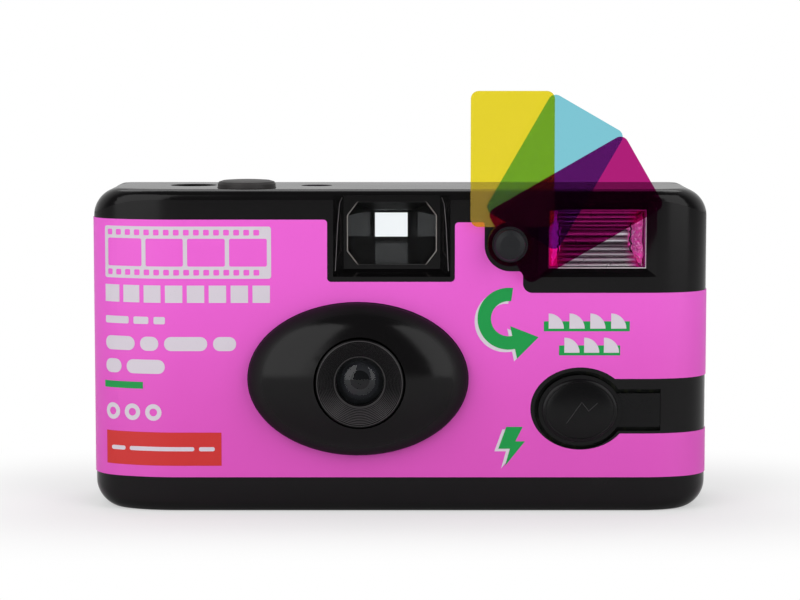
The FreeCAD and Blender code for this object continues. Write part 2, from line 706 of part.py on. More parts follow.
gate_half = ("gate_width / 2", "gate_height / 2")
frame_rough = fuse(
    "frame_rough",
    block("gate_plate", ("cartridge_x + 9.2", "supply_x - 6.5"), ("gate_plate_front", "gate_plate_back"),
          ("film_bottom - 4.4", "film_top + 4.6")),
    frustum("tunnel_walls", about("lens_x", "4.2"), about("film_centre_height", "4.2"),
            about("lens_x", "(gate_width / 2 + frame_wall)"),
            about("film_centre_height", "(gate_height / 2 + frame_wall)"),
            ("plate_front + 0.2", "gate_plate_back")),
    block("shutter_plate", ("lens_x - 16.4", "lens_x + 17.1"), ("plate_front", "plate_back"),
          ("film_centre_height - 13.5", "film_centre_height + 10.5")),
    block("lever_plate", ("lever_pivot_x - 3.2", "lever_pivot_x + 3.2"), ("plate_front", "plate_back"),
          ("film_centre_height + 10", "lever_pivot_z + 2.4")),
    rod("cartridge_chamber", "z", cartridge_axis, "chamber_radius + frame_wall", "wall", "top_plate_top"),
    block("top_plate", ("cartridge_x", "finder_x - recess_width / 2 - wall - moving_gap"),
          ("spindle_depth - 11", "gate_plate_back"),
          ("top_plate_bottom", "top_plate_top")),
    rod("supply_chamber", "z", supply_axis, "supply_chamber_radius + frame_wall", "wall", supply_top),
    rod("battery_tube", "z", battery_axis, "tube_outer", "wall + 2.3", "film_top + 2"),
    block("battery_web", ("supply_x + supply_chamber_radius + 0.5", "battery_x - tube_inner - 0.3"),
          ("battery_depth - 2", "battery_depth - 0.8"), ("wall + 2.3", "film_top - 4")))
frame_hollow = fuse(
    "frame_hollow",
    frustum("tunnel_light", about("lens_x", "3"), about("film_centre_height", "3"),
            about("lens_x", gate_half[0]), about("film_centre_height", gate_half[1]),
            ("plate_front - 0.1", "film_plane_depth + 0.1")),
    rod("cartridge_space", "z", cartridge_axis, "chamber_radius", "wall - 1", "top_plate_bottom"),
    rod("supply_space", "z", supply_axis, "supply_chamber_radius", "wall - 1", supply_top + " - 1"),
    rod("battery_space", "z", battery_axis, "tube_inner", "wall", "film_top + 3"),
    block("frame_back", whole_x, ("gate_plate_back", "back_depth"), whole_z),
    block("supply_back", ("supply_x - 6.4", "supply_x + 20"), ("gate_plate_front + 0.2", "back_depth"),
          whole_z),
    block("sprocket_slot", about("sprocket_x", "6.2"), ("gate_plate_front - 1.6", "back_depth"),
          ("sprocket_height - 2.5", "sprocket_height + 2.1")),
    rod("boss_bearing", "z", cartridge_axis, "wheel_boss_radius + shaft_gap", "door_height", "wheel_bottom"),
    rod("shaft_bearing", "z", sprocket_axis, "shaft_radius + shaft_gap", "door_height", "wheel_bottom"),
    rod("stub_bearing", "z", supply_axis, "2 + shaft_gap", supply_top + " - 2", supply_top + " + 1"),
    *[rod("frame_screw_hole_%d" % i, "y", centre, "screw_radius", "gate_plate_front - 1", "back_depth")
      for i, centre in enumerate(frame_screws, 1)])
rails = []
for i, sign in enumerate((1, -1), 1):
    inner = "film_centre_height + %d * (gate_height / 2 + 1.2)" % sign
    outer = "film_centre_height + %d * (film_width / 2 + 0.65)" % sign
    guide_x = ("cartridge_x + 9.2", "lens_x + 14") if sign > 0 else ("lens_x - 11", "supply_x - 6.5")
    rails.append(block("film_rail_%d" % i, ("cartridge_x + 9.2", "supply_x - 6.5"),
                       ("gate_plate_back - 0.2", "film_plane_depth"), about(inner, "0.6")))
    rails.append(block("film_guide_%d" % i, guide_x, ("gate_plate_back - 0.2", "gate_plate_back + 0.8"),
                       about(outer, "0.5")))
sprocket_bearing = cut(
    "sprocket_bearing",
    block("bearing_block", about("sprocket_x", "2.3"), about("sprocket_depth", "2.3"),
          ("film_centre_height + 10.6", "sprocket_height - 2.5")),
    rod("bearing_hole", "z", sprocket_axis, "pivot_radius + shaft_gap", "film_centre_height",
        "sprocket_height"))
frame_sum = fuse("frame_sum", cut("frame_body", frame_rough, frame_hollow), sprocket_bearing,
                 rod("blade_post", "y", (blade_x, blade_z), "pivot_radius", "blade_front - 1.1",
                     "plate_front + 0.2"),
                 rod("lever_post", "y", ("lever_pivot_x", "lever_pivot_z"), "pivot_radius",
                     "blade_front - 0.8", "plate_front + 0.2"),
                 rod("pawl_post", "z", (pawl_x, pawl_y), "pivot_radius", "top_plate_top - 0.2",
                     "wheel_bottom + 2.8"), *rails)
main_frame = cut("main_frame", frame_sum,
                 block("sprocket_slot_rails", about("sprocket_x", "6.2"), ("gate_plate_front", "back_depth"),
                       ("sprocket_height - 2.5", "sprocket_height + 2.1")))

# Lens and shutter
Piece("lens_bezel").turn("xy", [
    ("bezel_bore", "-bezel_front + 2.9"), ("bezel_radius - 0.4", "-bezel_front"),
    ("bezel_radius", "-bezel_front + 0.3"), ("bezel_radius", "mount_front"),
    ("bezel_bore", "mount_front")]).at("lens_x", "0", "film_centre_height")


def ball(label, centre, radius):
    sphere = doc.addObject("Part::Sphere", label)
    sphere.setExpression("Radius", bound(radius))
    for letter, text in zip("xyz", centre):
        sphere.setExpression("Placement.Base." + letter, bound(text))
    return sphere


lens_vertex = "mount_front - 0.5"
lens_back = "mount_front + 2.0"
cut("taking_lens",
    common("lens_front_surface",
           rod("lens_blank", "y", lens_axis, "lens_radius", "mount_front - 1", lens_back),
           ball("lens_front_ball", ("lens_x", lens_vertex + " + lens_front_curve", "film_centre_height"),
                "lens_front_curve")),
    ball("lens_back_ball", ("lens_x", "mount_front + 1.6 + lens_back_curve", "film_centre_height"),
         "lens_back_curve"))
spacer_back = "mount_front + 2.65"
stop_back = "mount_front + 3"
tube("lens_spacer", "y", lens_axis, "lens_radius", "lens_radius - 1.1", lens_back, spacer_back)
tube("aperture_plate", "y", lens_axis, "lens_radius", "aperture_radius", spacer_back, stop_back)
mount_barrel = Piece("mount_barrel").turn("xy", [
    ("lens_radius + 0.1", "mount_front"), ("6.2", "mount_front"), ("6.2", "mount_back - 0.8"),
    ("8", "mount_back - 0.8"), ("8", "mount_back"), ("3", "mount_back"), ("3", stop_back),
    ("lens_radius + 0.1", stop_back)]).at("lens_x", "0", "film_centre_height")
mount_feet = [rod("mount_foot_%d" % i, "y", ("lens_x + " + across, "film_centre_height + " + rise), "1",
                  "mount_back - 0.4", "plate_front")
              for i, (across, rise) in enumerate((("6.6", "-3.2"), ("6.6", "3.2"), ("3.6", "6.5")), 1)]
fuse("lens_mount", mount_barrel, *mount_feet)

blade_back = "blade_front + blade_thickness"
pivot_bore = "pivot_radius + shaft_gap"
blade_arm = Piece("blade_arm").pad("xz", [
    (blade_x + " + 0.9", blade_z + " + 0.9"), (blade_x + " - 0.9", blade_z + " - 0.9"),
    ("lens_x - 0.9", "film_centre_height - 0.9"), ("lens_x + 0.9", "film_centre_height + 0.9")],
    "blade_front", blade_back).body
blade_tail = Piece("blade_tail").pad("xz", [
    (blade_x + " - 0.9", blade_z), (blade_x + " + 0.9", blade_z), (blade_x + " + 0.1", blade_z + " + 6"),
    (blade_x + " - 0.8", blade_z + " + 6")], "blade_front", blade_back).body
cut("shutter_blade",
    fuse("blade_sum", rod("blade_disc", "y", lens_axis, "blade_radius", "blade_front", blade_back),
         rod("blade_hub", "y", (blade_x, blade_z), "2", "blade_front", blade_back), blade_arm, blade_tail),
    rod("blade_bore", "y", (blade_x, blade_z), pivot_bore, "blade_front - 1", "plate_front"))
tube("blade_spring", "y", (blade_x, blade_z), "1.7", "pivot_radius + 0.2", "blade_front - 1",
     "blade_front - 0.2")
lever_back = "blade_front + lever_thickness"
lever_points = ((-7.4, 7.6), (-7.4, 5.8), (-1.6, -1.2), (2.2, -7.0), (4.0, -6.6), (1.6, 1.4), (-5.0, 7.6))
lever_arm = Piece("lever_arm").pad("xz", [
    ("lever_pivot_x + (%g)" % x, "lever_pivot_z + (%g)" % z) for x, z in lever_points],
    "blade_front", lever_back).body
lever_centre = ("lever_pivot_x", "lever_pivot_z")
cut("release_lever",
    fuse("lever_sum", lever_arm, rod("lever_hub", "y", lever_centre, "2", "blade_front", lever_back),
         block("lever_pad", about("stem_x", "1.2"), ("blade_front", "stem_y + stem_radius"),
               ("lever_pivot_z + 6.8", "lever_pivot_z + 7.6"))),
    rod("lever_bore", "y", lever_centre, pivot_bore, "blade_front - 1", "plate_front"))

button_top = "body_height + button_proud"
flange_bottom = "inner_top - 1.5"
shutter_button = Piece("shutter_button")
shutter_button.turn("xz", [
    ("0", flange_bottom), ("button_radius + 0.45", flange_bottom), ("button_radius + 0.45", "inner_top - 0.2"),
    ("button_radius", "inner_top - 0.2"), ("button_radius", button_top + " - 0.8"),
    ("button_radius - 0.25", button_top + " - 0.35"), ("button_radius - 1.1", button_top + " - 0.1"),
    ("button_radius - 2.6", button_top), ("0", button_top)])
shutter_button.pad("xy", ("circle", "stem_offset_x", "stem_offset_y", "stem_radius"),
                   "lever_pivot_z + 7.8", flange_bottom + " + 0.3")
shutter_button.at("button_x", "button_depth", "0")
tube("button_spring", "z", ("stem_x", "stem_y"), "stem_radius + 1", "stem_radius + 0.2",
     "wheel_bottom + wheel_thickness - 0.6", flange_bottom)

# Viewfinder
tunnel_front = "-finder_plate_depth + finder_plate_thickness"
cut("viewfinder_tunnel",
    frustum("finder_walls", about("finder_x", "(finder_width / 2 + 1.2)"),
            about("finder_z", "(finder_height / 2 + 0.9)"), about("finder_x", "(eyepiece_width / 2 + 2.1)"),
            about("finder_z", "(eyepiece_height / 2 + 1.7)"), (tunnel_front, "finder_back")),
    frustum("finder_space", about("finder_x", "(finder_width / 2 + 0.5)"),
            about("finder_z", "(finder_height / 2 + 0.35)"), about("finder_x", "(eyepiece_width / 2 + 1.3)"),
            about("finder_z", "(eyepiece_height / 2 + 0.9)"),
            (tunnel_front + " - 0.01", "finder_back + 0.01")))
cut("viewfinder_front_lens",
    block("finder_lens_blank", about("finder_x", "(finder_width / 2 + 0.1)"),
          (tunnel_front + " + 0.1", tunnel_front + " + 1.7"), about("finder_z", "(finder_height / 2 + 0.1)")),
    ball("finder_lens_ball", ("finder_x", tunnel_front + " + 0.8 + 60", "finder_z"), "60"))
block("viewfinder_eyepiece", about("finder_x", "(eyepiece_width / 2 + 1)"),
      ("finder_back + 0.05", "inner_back"), about("finder_z", "(eyepiece_height / 2 + 0.8)"))

# Flash: window, reflector, tube, circuit, charge button and ready lamp
pane_front = "-flash_plate_depth + 0.8"
block("flash_window", (flash_sides[0] + " - 0.8", flash_sides[1] + " + 0.8"),
      (pane_front, pane_front + " + 0.8"), (flash_heights[0] + " - 0.7", flash_heights[1] + " + 0.7"))
trough_front = pane_front + " + 0.9"
trough_back = trough_front + " + reflector_depth"
tube_y = trough_front + " + 3.2"
cut("flash_reflector",
    frustum("reflector_walls", about("flash_x", "(flash_width / 2 + 0.3)"),
            about("flash_z", "(flash_height / 2 + 0.3)"), about("flash_x", "(flash_width / 2 - 1.6)"),
            about("flash_z", "2.4"), (trough_front, trough_back)),
    frustum("reflector_space", about("flash_x", "(flash_width / 2 + 0.3 - reflector_wall)"),
            about("flash_z", "(flash_height / 2 + 0.3 - reflector_wall)"),
            about("flash_x", "(flash_width / 2 - 1.6 - reflector_wall)"), about("flash_z", "1.8"),
            (trough_front + " - 0.01", trough_back + " - reflector_wall")),
    rod("reflector_tube_hole", "x", (tube_y, "flash_z"), "flash_tube_radius + 0.1",
        "flash_x - flash_width", "flash_x + flash_width"))
rod("flash_tube", "x", (tube_y, "flash_z"), "flash_tube_radius", "flash_x - flash_width / 2 - 0.4",
    "flash_x + flash_width / 2 + 0.4")
board_back = "-board_depth + board_thickness"
board_left = "filter_x - 4.7"
Piece("flash_circuit_board").pad("xz", [
    (board_left, "film_top + 1"), (board_left, "film_bottom + 3.5"), ("lens_x - 10.9", "film_bottom + 3.5"),
    ("lens_x - 10.9", "film_bottom - 4.4"), ("battery_x + 3.8", "film_bottom - 4.4"),
    ("battery_x + 3.8", "film_top + 1")], "-board_depth", board_back)
rod("flash_capacitor", "x", (board_back + " + capacitor_radius + 0.1", "film_bottom"), "capacitor_radius",
    "lens_x - 9.9", "lens_x - 9.9 + capacitor_length")
block("flash_transformer", ("lens_x + 15.6", "lens_x + 22.2"), (board_back + " + 0.05", board_back + " + 6"),
      ("film_bottom - 4.2", "film_bottom + 3.3"))
rod("flash_switch_contact", "y", charge_centre, "3", "-board_depth - 0.18", "-board_depth")
charge_arm = casing_part("charge_arm", ("charge_x", "charge_arm_end - 0.1"), ("front - 1", "inner_front + 1"),
                         about("charge_z", "charge_arm_height / 2"))
fuse("flash_button",
     oval("charge_plate", charge_centre, ("charge_half_width", "charge_half_height"), "front - 0.5",
          "inner_front"),
     dome("charge_dome", charge_centre, ("charge_half_width - 0.7", "charge_half_height - 0.7"), "1.1",
          "front - 0.5"),
     charge_arm, rod("charge_stem", "y", charge_centre, "1.5", "inner_front - 0.2", "-board_depth - 1"))
fuse("ready_lamp", rod("lamp_lens", "y", lamp_centre, "1.5", "inner_back - 1", "back_depth + 0.15"),
     rod("lamp_flange", "y", lamp_centre, "2.3", "inner_back - 1.2", "inner_back - 0.05"))

# Battery and its contacts
battery_top = "battery_bottom + battery_length"
fuse("battery", rod("battery_can", "z", battery_axis, "battery_radius", "battery_bottom",
                    battery_top + " - 1.3"),
     rod("battery_nub", "z", battery_axis, "2.7", battery_top + " - 1.5", battery_top))
strap_x = ("battery_x - tube_outer - 0.8", "battery_x - tube_outer - 0.1")
fuse("battery_contact_plus",
     block("plus_plate", (strap_x[0], "battery_x + 3.5"), about("battery_depth", "2"),
           (battery_top, battery_top + " + 0.4")),
     block("plus_strap", strap_x, about("battery_depth", "2"), ("film_top - 2", battery_top + " + 0.4")))
tube("battery_contact_spring", "z", battery_axis, "3.6", "2.6", "wall + 0.05", "battery_bottom")

# Film: cartridge, film across the gate, supply roll and the key below it
cartridge_can = cut(
    "cartridge_can",
    fuse("cartridge_sum",
         cut("cartridge_shell",
             rod("cartridge_outer", "z", cartridge_axis, "cartridge_radius", "cartridge_bottom",
                 "cartridge_top"),
             rod("cartridge_inner", "z", cartridge_axis, "cartridge_radius - cartridge_sheet",
                 "cartridge_bottom + cartridge_sheet", "cartridge_top - cartridge_sheet")),
         block("cartridge_lip", ("cartridge_x + 5.7", "cartridge_x + 9"),
               ("gate_plate_back + 0.1", "gate_plate_back + 1.5"), ("film_bottom - 2", "film_top + 2"))),
    block("cartridge_slot", ("cartridge_x + 5", "cartridge_x + 11"),
          ("film_plane_depth - 0.05", "film_plane_depth + film_thickness + 0.05"),
          ("film_bottom - 0.1", "film_top + 0.1")),
    rod("cartridge_end_holes", "z", cartridge_axis, "spool_radius + shaft_gap", "cartridge_bottom - 1",
        "cartridge_top + 1"))
cartridge_can.Label = "film_cartridge"
socket_bottom = "cartridge_top - 4"
fuse("cartridge_spool",
     cut("spool_blank",
         rod("spool_core", "z", cartridge_axis, "spool_radius", "cartridge_bottom + 0.1",
             "cartridge_top - 0.1"),
         rod("spool_socket", "z", cartridge_axis, "wheel_boss_radius + part_gap", socket_bottom,
             "cartridge_top")),
     block("spool_key", about("cartridge_x", "(wheel_boss_radius + 0.5)"), about("spindle_depth", "0.6"),
           (socket_bottom + " - 0.2", "cartridge_top - 1.2")))
film_strip = Piece("film_strip")
film_back = "film_plane_depth + film_thickness"
roll_top = "spindle_depth + roll_radius + 0.15"
film_strip.pad("xy", [
    ("cartridge_x + 6.7", "film_plane_depth"), ("supply_x - 6.5", "film_plane_depth"), ("supply_x", roll_top),
    ("supply_x", roll_top + " + film_thickness"), ("supply_x - 6.5", film_back),
    ("cartridge_x + 6.7", film_back)], "film_bottom", "film_top")
film_strip.pocket("xz", rectangle(about("sprocket_x", "3.9"), about("sprocket_height", "0.95")),
                  "film_plane_depth - 1", "film_plane_depth + 1")
tube("film_roll", "z", supply_axis, "roll_radius", "spool_core_radius", "film_bottom", "film_top")
cut("supply_spool",
    fuse("supply_sum", rod("supply_flange", "z", supply_axis, "supply_chamber_radius - 0.5", "wall + 2",
                           "wall + 3"),
         rod("supply_core", "z", supply_axis, "spool_core_radius", "wall + 0.4", supply_top + " - 1.4"),
         rod("supply_stub", "z", supply_axis, "2", supply_top + " - 1.6", supply_top + " + 0.6")),
    rod("supply_bore", "z", supply_axis, "2.5", "wall", "wall + 10"))
cut("loading_key",
    fuse("key_sum", rod("key_disc", "z", supply_axis, "key_radius", "0.3", "wall - 0.1"),
         rod("key_stem", "z", supply_axis, "2.45", "wall - 0.2", "wall + 9.5")),
    *[block("key_recess_%d" % i, about("supply_x", "4"), depth, ("0", "1"))
      for i, depth in enumerate((("spindle_depth + 1", "spindle_depth + 4.4"),
                                 ("spindle_depth - 4.4", "spindle_depth - 1")), 1)])


# Film advance
def toothed(label, count, root, tip, root_share, tip_share, height, place):
    """A toothed disc on an upright axis, its base's centre at place; the shares are of one tooth's angle."""
    points = []
    for i in range(count):
        for radius, share in ((root, -root_share), (tip, -tip_share), (tip, tip_share), (root, root_share)):
            angle = 2 * math.pi * (i + share / 2) / count
            points.append(Vector(radius * math.cos(angle), radius * math.sin(angle), 0))
    piece = doc.addObject("Part::Feature", label)
    piece.Shape = Part.Face(Part.makePolygon(points + points[:1])).extrude(Vector(0, 0, height))
    for letter, text in zip("xyz", place):
        piece.setExpression("Placement.Base." + letter, bound(text))
    return piece


wheel_top = "wheel_bottom + wheel_thickness"
wheel_rim = toothed("wheel_rim", int(size["wheel_teeth"]), size["wheel_radius"] - size["wheel_tooth_depth"],
                    size["wheel_radius"], 0.8, 0.3, size["wheel_thickness"],
                    ("cartridge_x", "spindle_depth", "wheel_bottom"))
cut("film_advance_wheel",
    fuse("wheel_sum", wheel_rim,
         rod("wheel_boss", "z", cartridge_axis, "wheel_boss_radius", socket_bottom + " + 0.3",
             "wheel_bottom + 1"),
         rod("wheel_hub", "z", cartridge_axis, "wheel_window_radius - 0.5", wheel_top + " - 1",
             wheel_top + " + 2")),
    block("wheel_fork", about("cartridge_x", "(wheel_boss_radius + 1)"), about("spindle_depth", "0.8"),
          (socket_bottom, "cartridge_top - 0.9")),
    tube("wheel_groove", "z", cartridge_axis, "wheel_radius - 2.4", "wheel_window_radius + 1",
         wheel_top + " - 1.2", wheel_top + " + 1"))
sprocket_teeth = toothed("sprocket_teeth", 8, size["sprocket_radius"] - 0.2,
                         size["sprocket_radius"] + size["sprocket_tooth_height"], 0.36, 0.2, 1.4,
                         ("sprocket_x", "sprocket_depth", "sprocket_height - 0.7"))
fuse("sprocket_shaft", sprocket_teeth,
     rod("sprocket_drum", "z", sprocket_axis, "sprocket_radius", "sprocket_height - 2.2",
         "sprocket_height + 1.8"),
     rod("sprocket_spindle", "z", sprocket_axis, "shaft_radius", "sprocket_height + 1.7",
         "counter_bottom - 0.3"),
     rod("sprocket_pin", "z", sprocket_axis, "pivot_radius", "sprocket_height - 3.8",
         "sprocket_height - 2.1"))
counter_axis = ("counter_x", "counter_depth")
cut("counter_dial",
    fuse("dial_sum", rod("dial_disc", "z", counter_axis, "counter_radius", "counter_bottom",
                         "counter_bottom + counter_thickness"),
         rod("dial_hub", "z", counter_axis, "2", "counter_bottom", "inner_top - 1.2")),
    rod("dial_bore", "z", counter_axis, pivot_bore, "counter_bottom - 1", "inner_top"))
window_axis = ("counter_window_x", "counter_window_depth")
fuse("counter_window",
     rod("counter_glass", "z", window_axis, "counter_window_radius - 0.05", "inner_top - 0.5",
         "body_height - 0.1"),
     rod("counter_rim", "z", window_axis, "counter_window_radius + 0.8", "inner_top - 0.8", "inner_top"))
tip_x = "cartridge_x + wheel_radius + 0.3"
pawl_z = ("wheel_bottom + 0.3", "wheel_bottom + 2.3")
pawl_arm = Piece("pawl_arm").pad("xy", [
    (pawl_x + " - 0.9", pawl_y), (pawl_x + " + 0.9", pawl_y), (tip_x + " + 1", "spindle_depth - 0.6"),
    (tip_x, "spindle_depth - 1")], pawl_z[0], pawl_z[1]).body
cut("ratchet_pawl", fuse("pawl_sum", pawl_arm, rod("pawl_hub", "z", (pawl_x, pawl_y), "1.7", *pawl_z)),
    rod("pawl_bore", "z", (pawl_x, pawl_y), pivot_bore, "top_plate_top", "wheel_bottom + 4"))


# Flat outlines with rounded corners, drawn from the front
def stencil(label, corners, low, high):
    """A plate from low to high along Y; each corner is x, z and its radius."""
    count = len(corners)
    edges = []
    ends = []
    for i, (x, z, radius) in enumerate(corners):
        here = Vector(x, 0, z)
        before = (Vector(corners[i - 1][0], 0, corners[i - 1][1]) - here).normalize()
        after = (Vector(corners[(i + 1) % count][0], 0, corners[(i + 1) % count][1]) - here).normalize()
        if radius == 0:
            ends.append((here, here))
            continue
        half = math.acos(max(-1.0, min(1.0, before.dot(after)))) / 2
        reach = radius / math.tan(half)
        inwards = (before + after).normalize()
        middle = here + inwards * (radius / math.sin(half) - radius)
        ends.append((here + before * reach, here + after * reach))
        edges.append(Part.Arc(ends[-1][0], middle, ends[-1][1]).toShape())
    for i in range(count):
        edges.append(Part.LineSegment(ends[i - 1][1], ends[i][0]).toShape())
    plate = Part.Face(Part.Wire(Part.__sortEdges__(edges))).extrude(Vector(0, high - low, 0))
    plate.translate(Vector(0, low, 0))
    piece = doc.addObject("Part::Feature", label)
    piece.Shape = plate
    return piece


# Wrap label on the front cover, and a plain one on the film door
label_bottom = 6.7
label_top = 55.9
label_notch = size["recess_bottom"] - 1.0
notch_left = size["finder_x"] - size["recess_width"] / 2 - 1.25
notch_right = size["finder_x"] + size["recess_width"] / 2 + 0.95
knob_left = size["filter_x"] - 4.7
flash_left = size["filter_x"] + 2.6
flash_floor = size["flash_z"] - size["flash_frame_height"] / 2 - 3.0
knob_floor = size["filter_z"] - 5.3
beyond = size["body_width"] / 2 + 5
label_shape = stencil("label_shape", [
    (-beyond, label_bottom, 0), (-beyond, label_top, 0), (notch_left, label_top, 0.7),
    (notch_left, label_notch, 0.7), (notch_right, label_notch, 0.8), (notch_right, label_top - 0.5, 0.7),
    (knob_left, label_top - 0.5, 0.4), (knob_left, knob_floor, 4.95), (flash_left, knob_floor, 0.9),
    (flash_left, flash_floor, 1.8), (beyond, flash_floor, 0), (beyond, label_bottom, 0)],
    -size["front_depth"] - 2, size["parting_depth"] - 2.5)
label_skin = cut("label_skin", casing_block("label_outside", -size["label_thickness"], rounded=False),
                 casing_block("label_inside", 0.0, rounded=False))
cut("front_label", common("label_band", label_skin, label_shape),
    oval("label_lens_hole", bulge_centre, ("bulge_half_width + 0.15", "bulge_half_height + 0.15"),
         "front - 1", "inner_front"),
    oval("label_button_hole", ("charge_x + 0.1", "charge_z + 0.3"),
         ("charge_half_width + 1.6", "charge_half_height + 1.15"), "front - 1", "inner_front"),
    block("label_strap_hole", ("charge_x", "half_width + 1"), ("front - 1", "parting_depth"),
          ("charge_z - charge_arm_height / 2 - 1.3", "charge_z + charge_arm_height / 2 + 2.8")),
    block("label_latch_hole", ("half_width - 1", "half_width + 1"),
          ("parting_depth - 4 - part_gap", "parting_depth"), ("0", "6.7 + latch_travel + part_gap")))
door_label_half = size["body_width"] / 2 - 12
stencil("rear_label", [(-door_label_half, 7, 2), (door_label_half, 7, 2), (door_label_half, 45, 2),
                       (-door_label_half, 45, 2)],
        size["back_depth"], size["back_depth"] + size["label_thickness"])

# Flash filters: three tinted leaves that turn on one pin, fanned out
knob_back = "leaf_front - 0.15"
Piece("filter_pivot_knob").turn("xy", [
    ("0", knob_back + " - 2.4"), ("filter_knob_radius - 1.2", knob_back + " - 2.3"),
    ("filter_knob_radius - 0.3", knob_back + " - 1.9"), ("filter_knob_radius", knob_back + " - 1.4"),
    ("filter_knob_radius", knob_back + " - 0.6"), ("filter_knob_radius + 0.3", knob_back + " - 0.6"),
    ("filter_knob_radius + 0.3", knob_back), ("filter_pin_radius", knob_back),
    ("filter_pin_radius", "inner_front + 1"), ("0", "inner_front + 1")]).at("filter_x", "0", "filter_z")


def filter_leaf(label, layer, angle, low):
    """A tinted leaf on the pin, turned about it from upright; low is where its sheet starts."""
    left = size["leaf_offset"] - size["leaf_width"] / 2
    right = size["leaf_offset"] + size["leaf_width"] / 2
    corner = size["leaf_corner"]
    high = size["leaf_outer"]
    sheet_part = stencil(label + "_sheet", [(left, low, corner), (right, low, corner), (right, high, corner),
                                            (left, high, corner)], 0, size["leaf_thickness"])
    ear = rod(label + "_ear", "y", ("0", "0"), "ear_radius", "0", "leaf_thickness")
    hole = rod(label + "_hole", "y", ("0", "0"), "filter_pin_radius + shaft_gap", "-1", "leaf_thickness + 1")
    leaf = cut(label, fuse(label + "_sum", sheet_part, ear), hole)
    leaf.Placement = FreeCAD.Placement(Vector(), Rotation(Vector(0, 1, 0), angle))
    for letter, text in zip("xyz", ("filter_x", "leaf_front + %d * leaf_pitch" % layer, "filter_z")):
        leaf.setExpression("Placement.Base." + letter, bound(text))
    return leaf


filter_leaf("filter_magenta", 0, 60, size["long_leaf_inner"])
filter_leaf("filter_cyan", 1, 30, size["leaf_inner"])
filter_leaf("filter_yellow", 2, 0, size["leaf_inner"])

# Screws: two hold the inner frame, one the rear cover
screws = []
for i, (centre, seat) in enumerate(zip(frame_screws + (cover_screw,),
                                       ("gate_plate_back", "gate_plate_back", "back_depth - 0.9")), 1):
    head = cut("screw_head_%d" % i, rod("screw_cap_%d" % i, "y", centre, "screw_head_radius", seat,
                                        seat + " + 0.8"),
               block("screw_slot_x_%d" % i, about(centre[0], "1.1"), (seat + " + 0.3", seat + " + 1"),
                     about(centre[1], "0.22")),
               block("screw_slot_z_%d" % i, about(centre[0], "0.22"), (seat + " + 0.3", seat + " + 1"),
                     about(centre[1], "1.1")))
    screws.append(fuse("screw_%d" % i, head, rod("screw_shank_%d" % i, "y", centre, "screw_radius",
                                                 seat + " - 8", seat)))
fuse("housing_screws", *screws)

doc.recompute()

nodes = [
    "front_cover", "rear_cover", "film_door", "battery_door", "hinge_pin", "door_latch", "front_label",
    "rear_label", "main_frame", "lens_bezel", "taking_lens", "lens_spacer", "aperture_plate", "lens_mount",
    "shutter_blade", "blade_spring", "release_lever", "shutter_button", "button_spring",
    "viewfinder_tunnel", "viewfinder_front_lens", "viewfinder_eyepiece", "flash_window", "flash_reflector",
    "flash_tube", "flash_circuit_board", "flash_capacitor", "flash_transformer", "flash_switch_contact",
    "flash_button", "ready_lamp", "battery", "battery_contact_plus", "battery_contact_spring",
    "film_cartridge", "cartridge_spool", "film_strip", "film_roll", "supply_spool", "loading_key",
    "film_advance_wheel", "sprocket_shaft", "counter_dial", "counter_window", "ratchet_pawl",
    "pressure_plate", "pressure_spring", "filter_pivot_knob", "filter_yellow", "filter_cyan",
    "filter_magenta", "housing_screws"]
faults = []
for item in doc.Objects:
    if "Invalid" in item.State or "Error" in item.State:
        faults.append("%s is %s" % (item.Label, item.State))
    if item.TypeId == "PartDesign::Pocket" and item.BaseFeature is not None:
        if item.Shape.Volume > item.BaseFeature.Shape.Volume - 1e-6:
            faults.append(item.Label + " cuts nothing")
parts = {}
for node in nodes:
    found = doc.getObjectsByLabel(node)
    if len(found) != 1:
        faults.append("%s has %d objects" % (node, len(found)))
        continue
    shape = found[0].Shape
    if shape.isNull() or not shape.isValid() or not shape.Solids:
        faults.append(node + " has no valid solid")
        continue
    if len(shape.Solids) != (3 if node == "housing_screws" else 1):
        faults.append("%s has %d solids" % (node, len(shape.Solids)))
    parts[node] = shape
if faults:
    raise RuntimeError("; ".join(faults))

os.makedirs("parts", exist_ok=True)
for node, shape in parts.items():
    shape.exportStep("parts/%s.step" % node)
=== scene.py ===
import math
import random
import bmesh
import bpy
from mathutils import Matrix, Vector


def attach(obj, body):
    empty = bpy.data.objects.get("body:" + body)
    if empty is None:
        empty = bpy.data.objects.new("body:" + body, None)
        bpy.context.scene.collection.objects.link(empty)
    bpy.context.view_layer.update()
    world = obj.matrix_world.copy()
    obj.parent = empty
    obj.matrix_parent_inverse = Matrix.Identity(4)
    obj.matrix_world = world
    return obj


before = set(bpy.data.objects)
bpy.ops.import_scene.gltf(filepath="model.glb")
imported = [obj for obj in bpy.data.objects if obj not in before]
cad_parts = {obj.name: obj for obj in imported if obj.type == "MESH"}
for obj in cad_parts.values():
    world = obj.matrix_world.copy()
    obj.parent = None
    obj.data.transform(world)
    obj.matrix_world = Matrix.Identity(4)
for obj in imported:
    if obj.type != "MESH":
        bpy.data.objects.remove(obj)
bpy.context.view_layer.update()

# Casing: the front cover, the strip behind it, the film door and the battery lid.
# They are moulded in black styrene with a soft shine, and the two halves clip and screw together.
# The skin is slightly uneven where the plastic shrank, with faint rubbed places from handling.


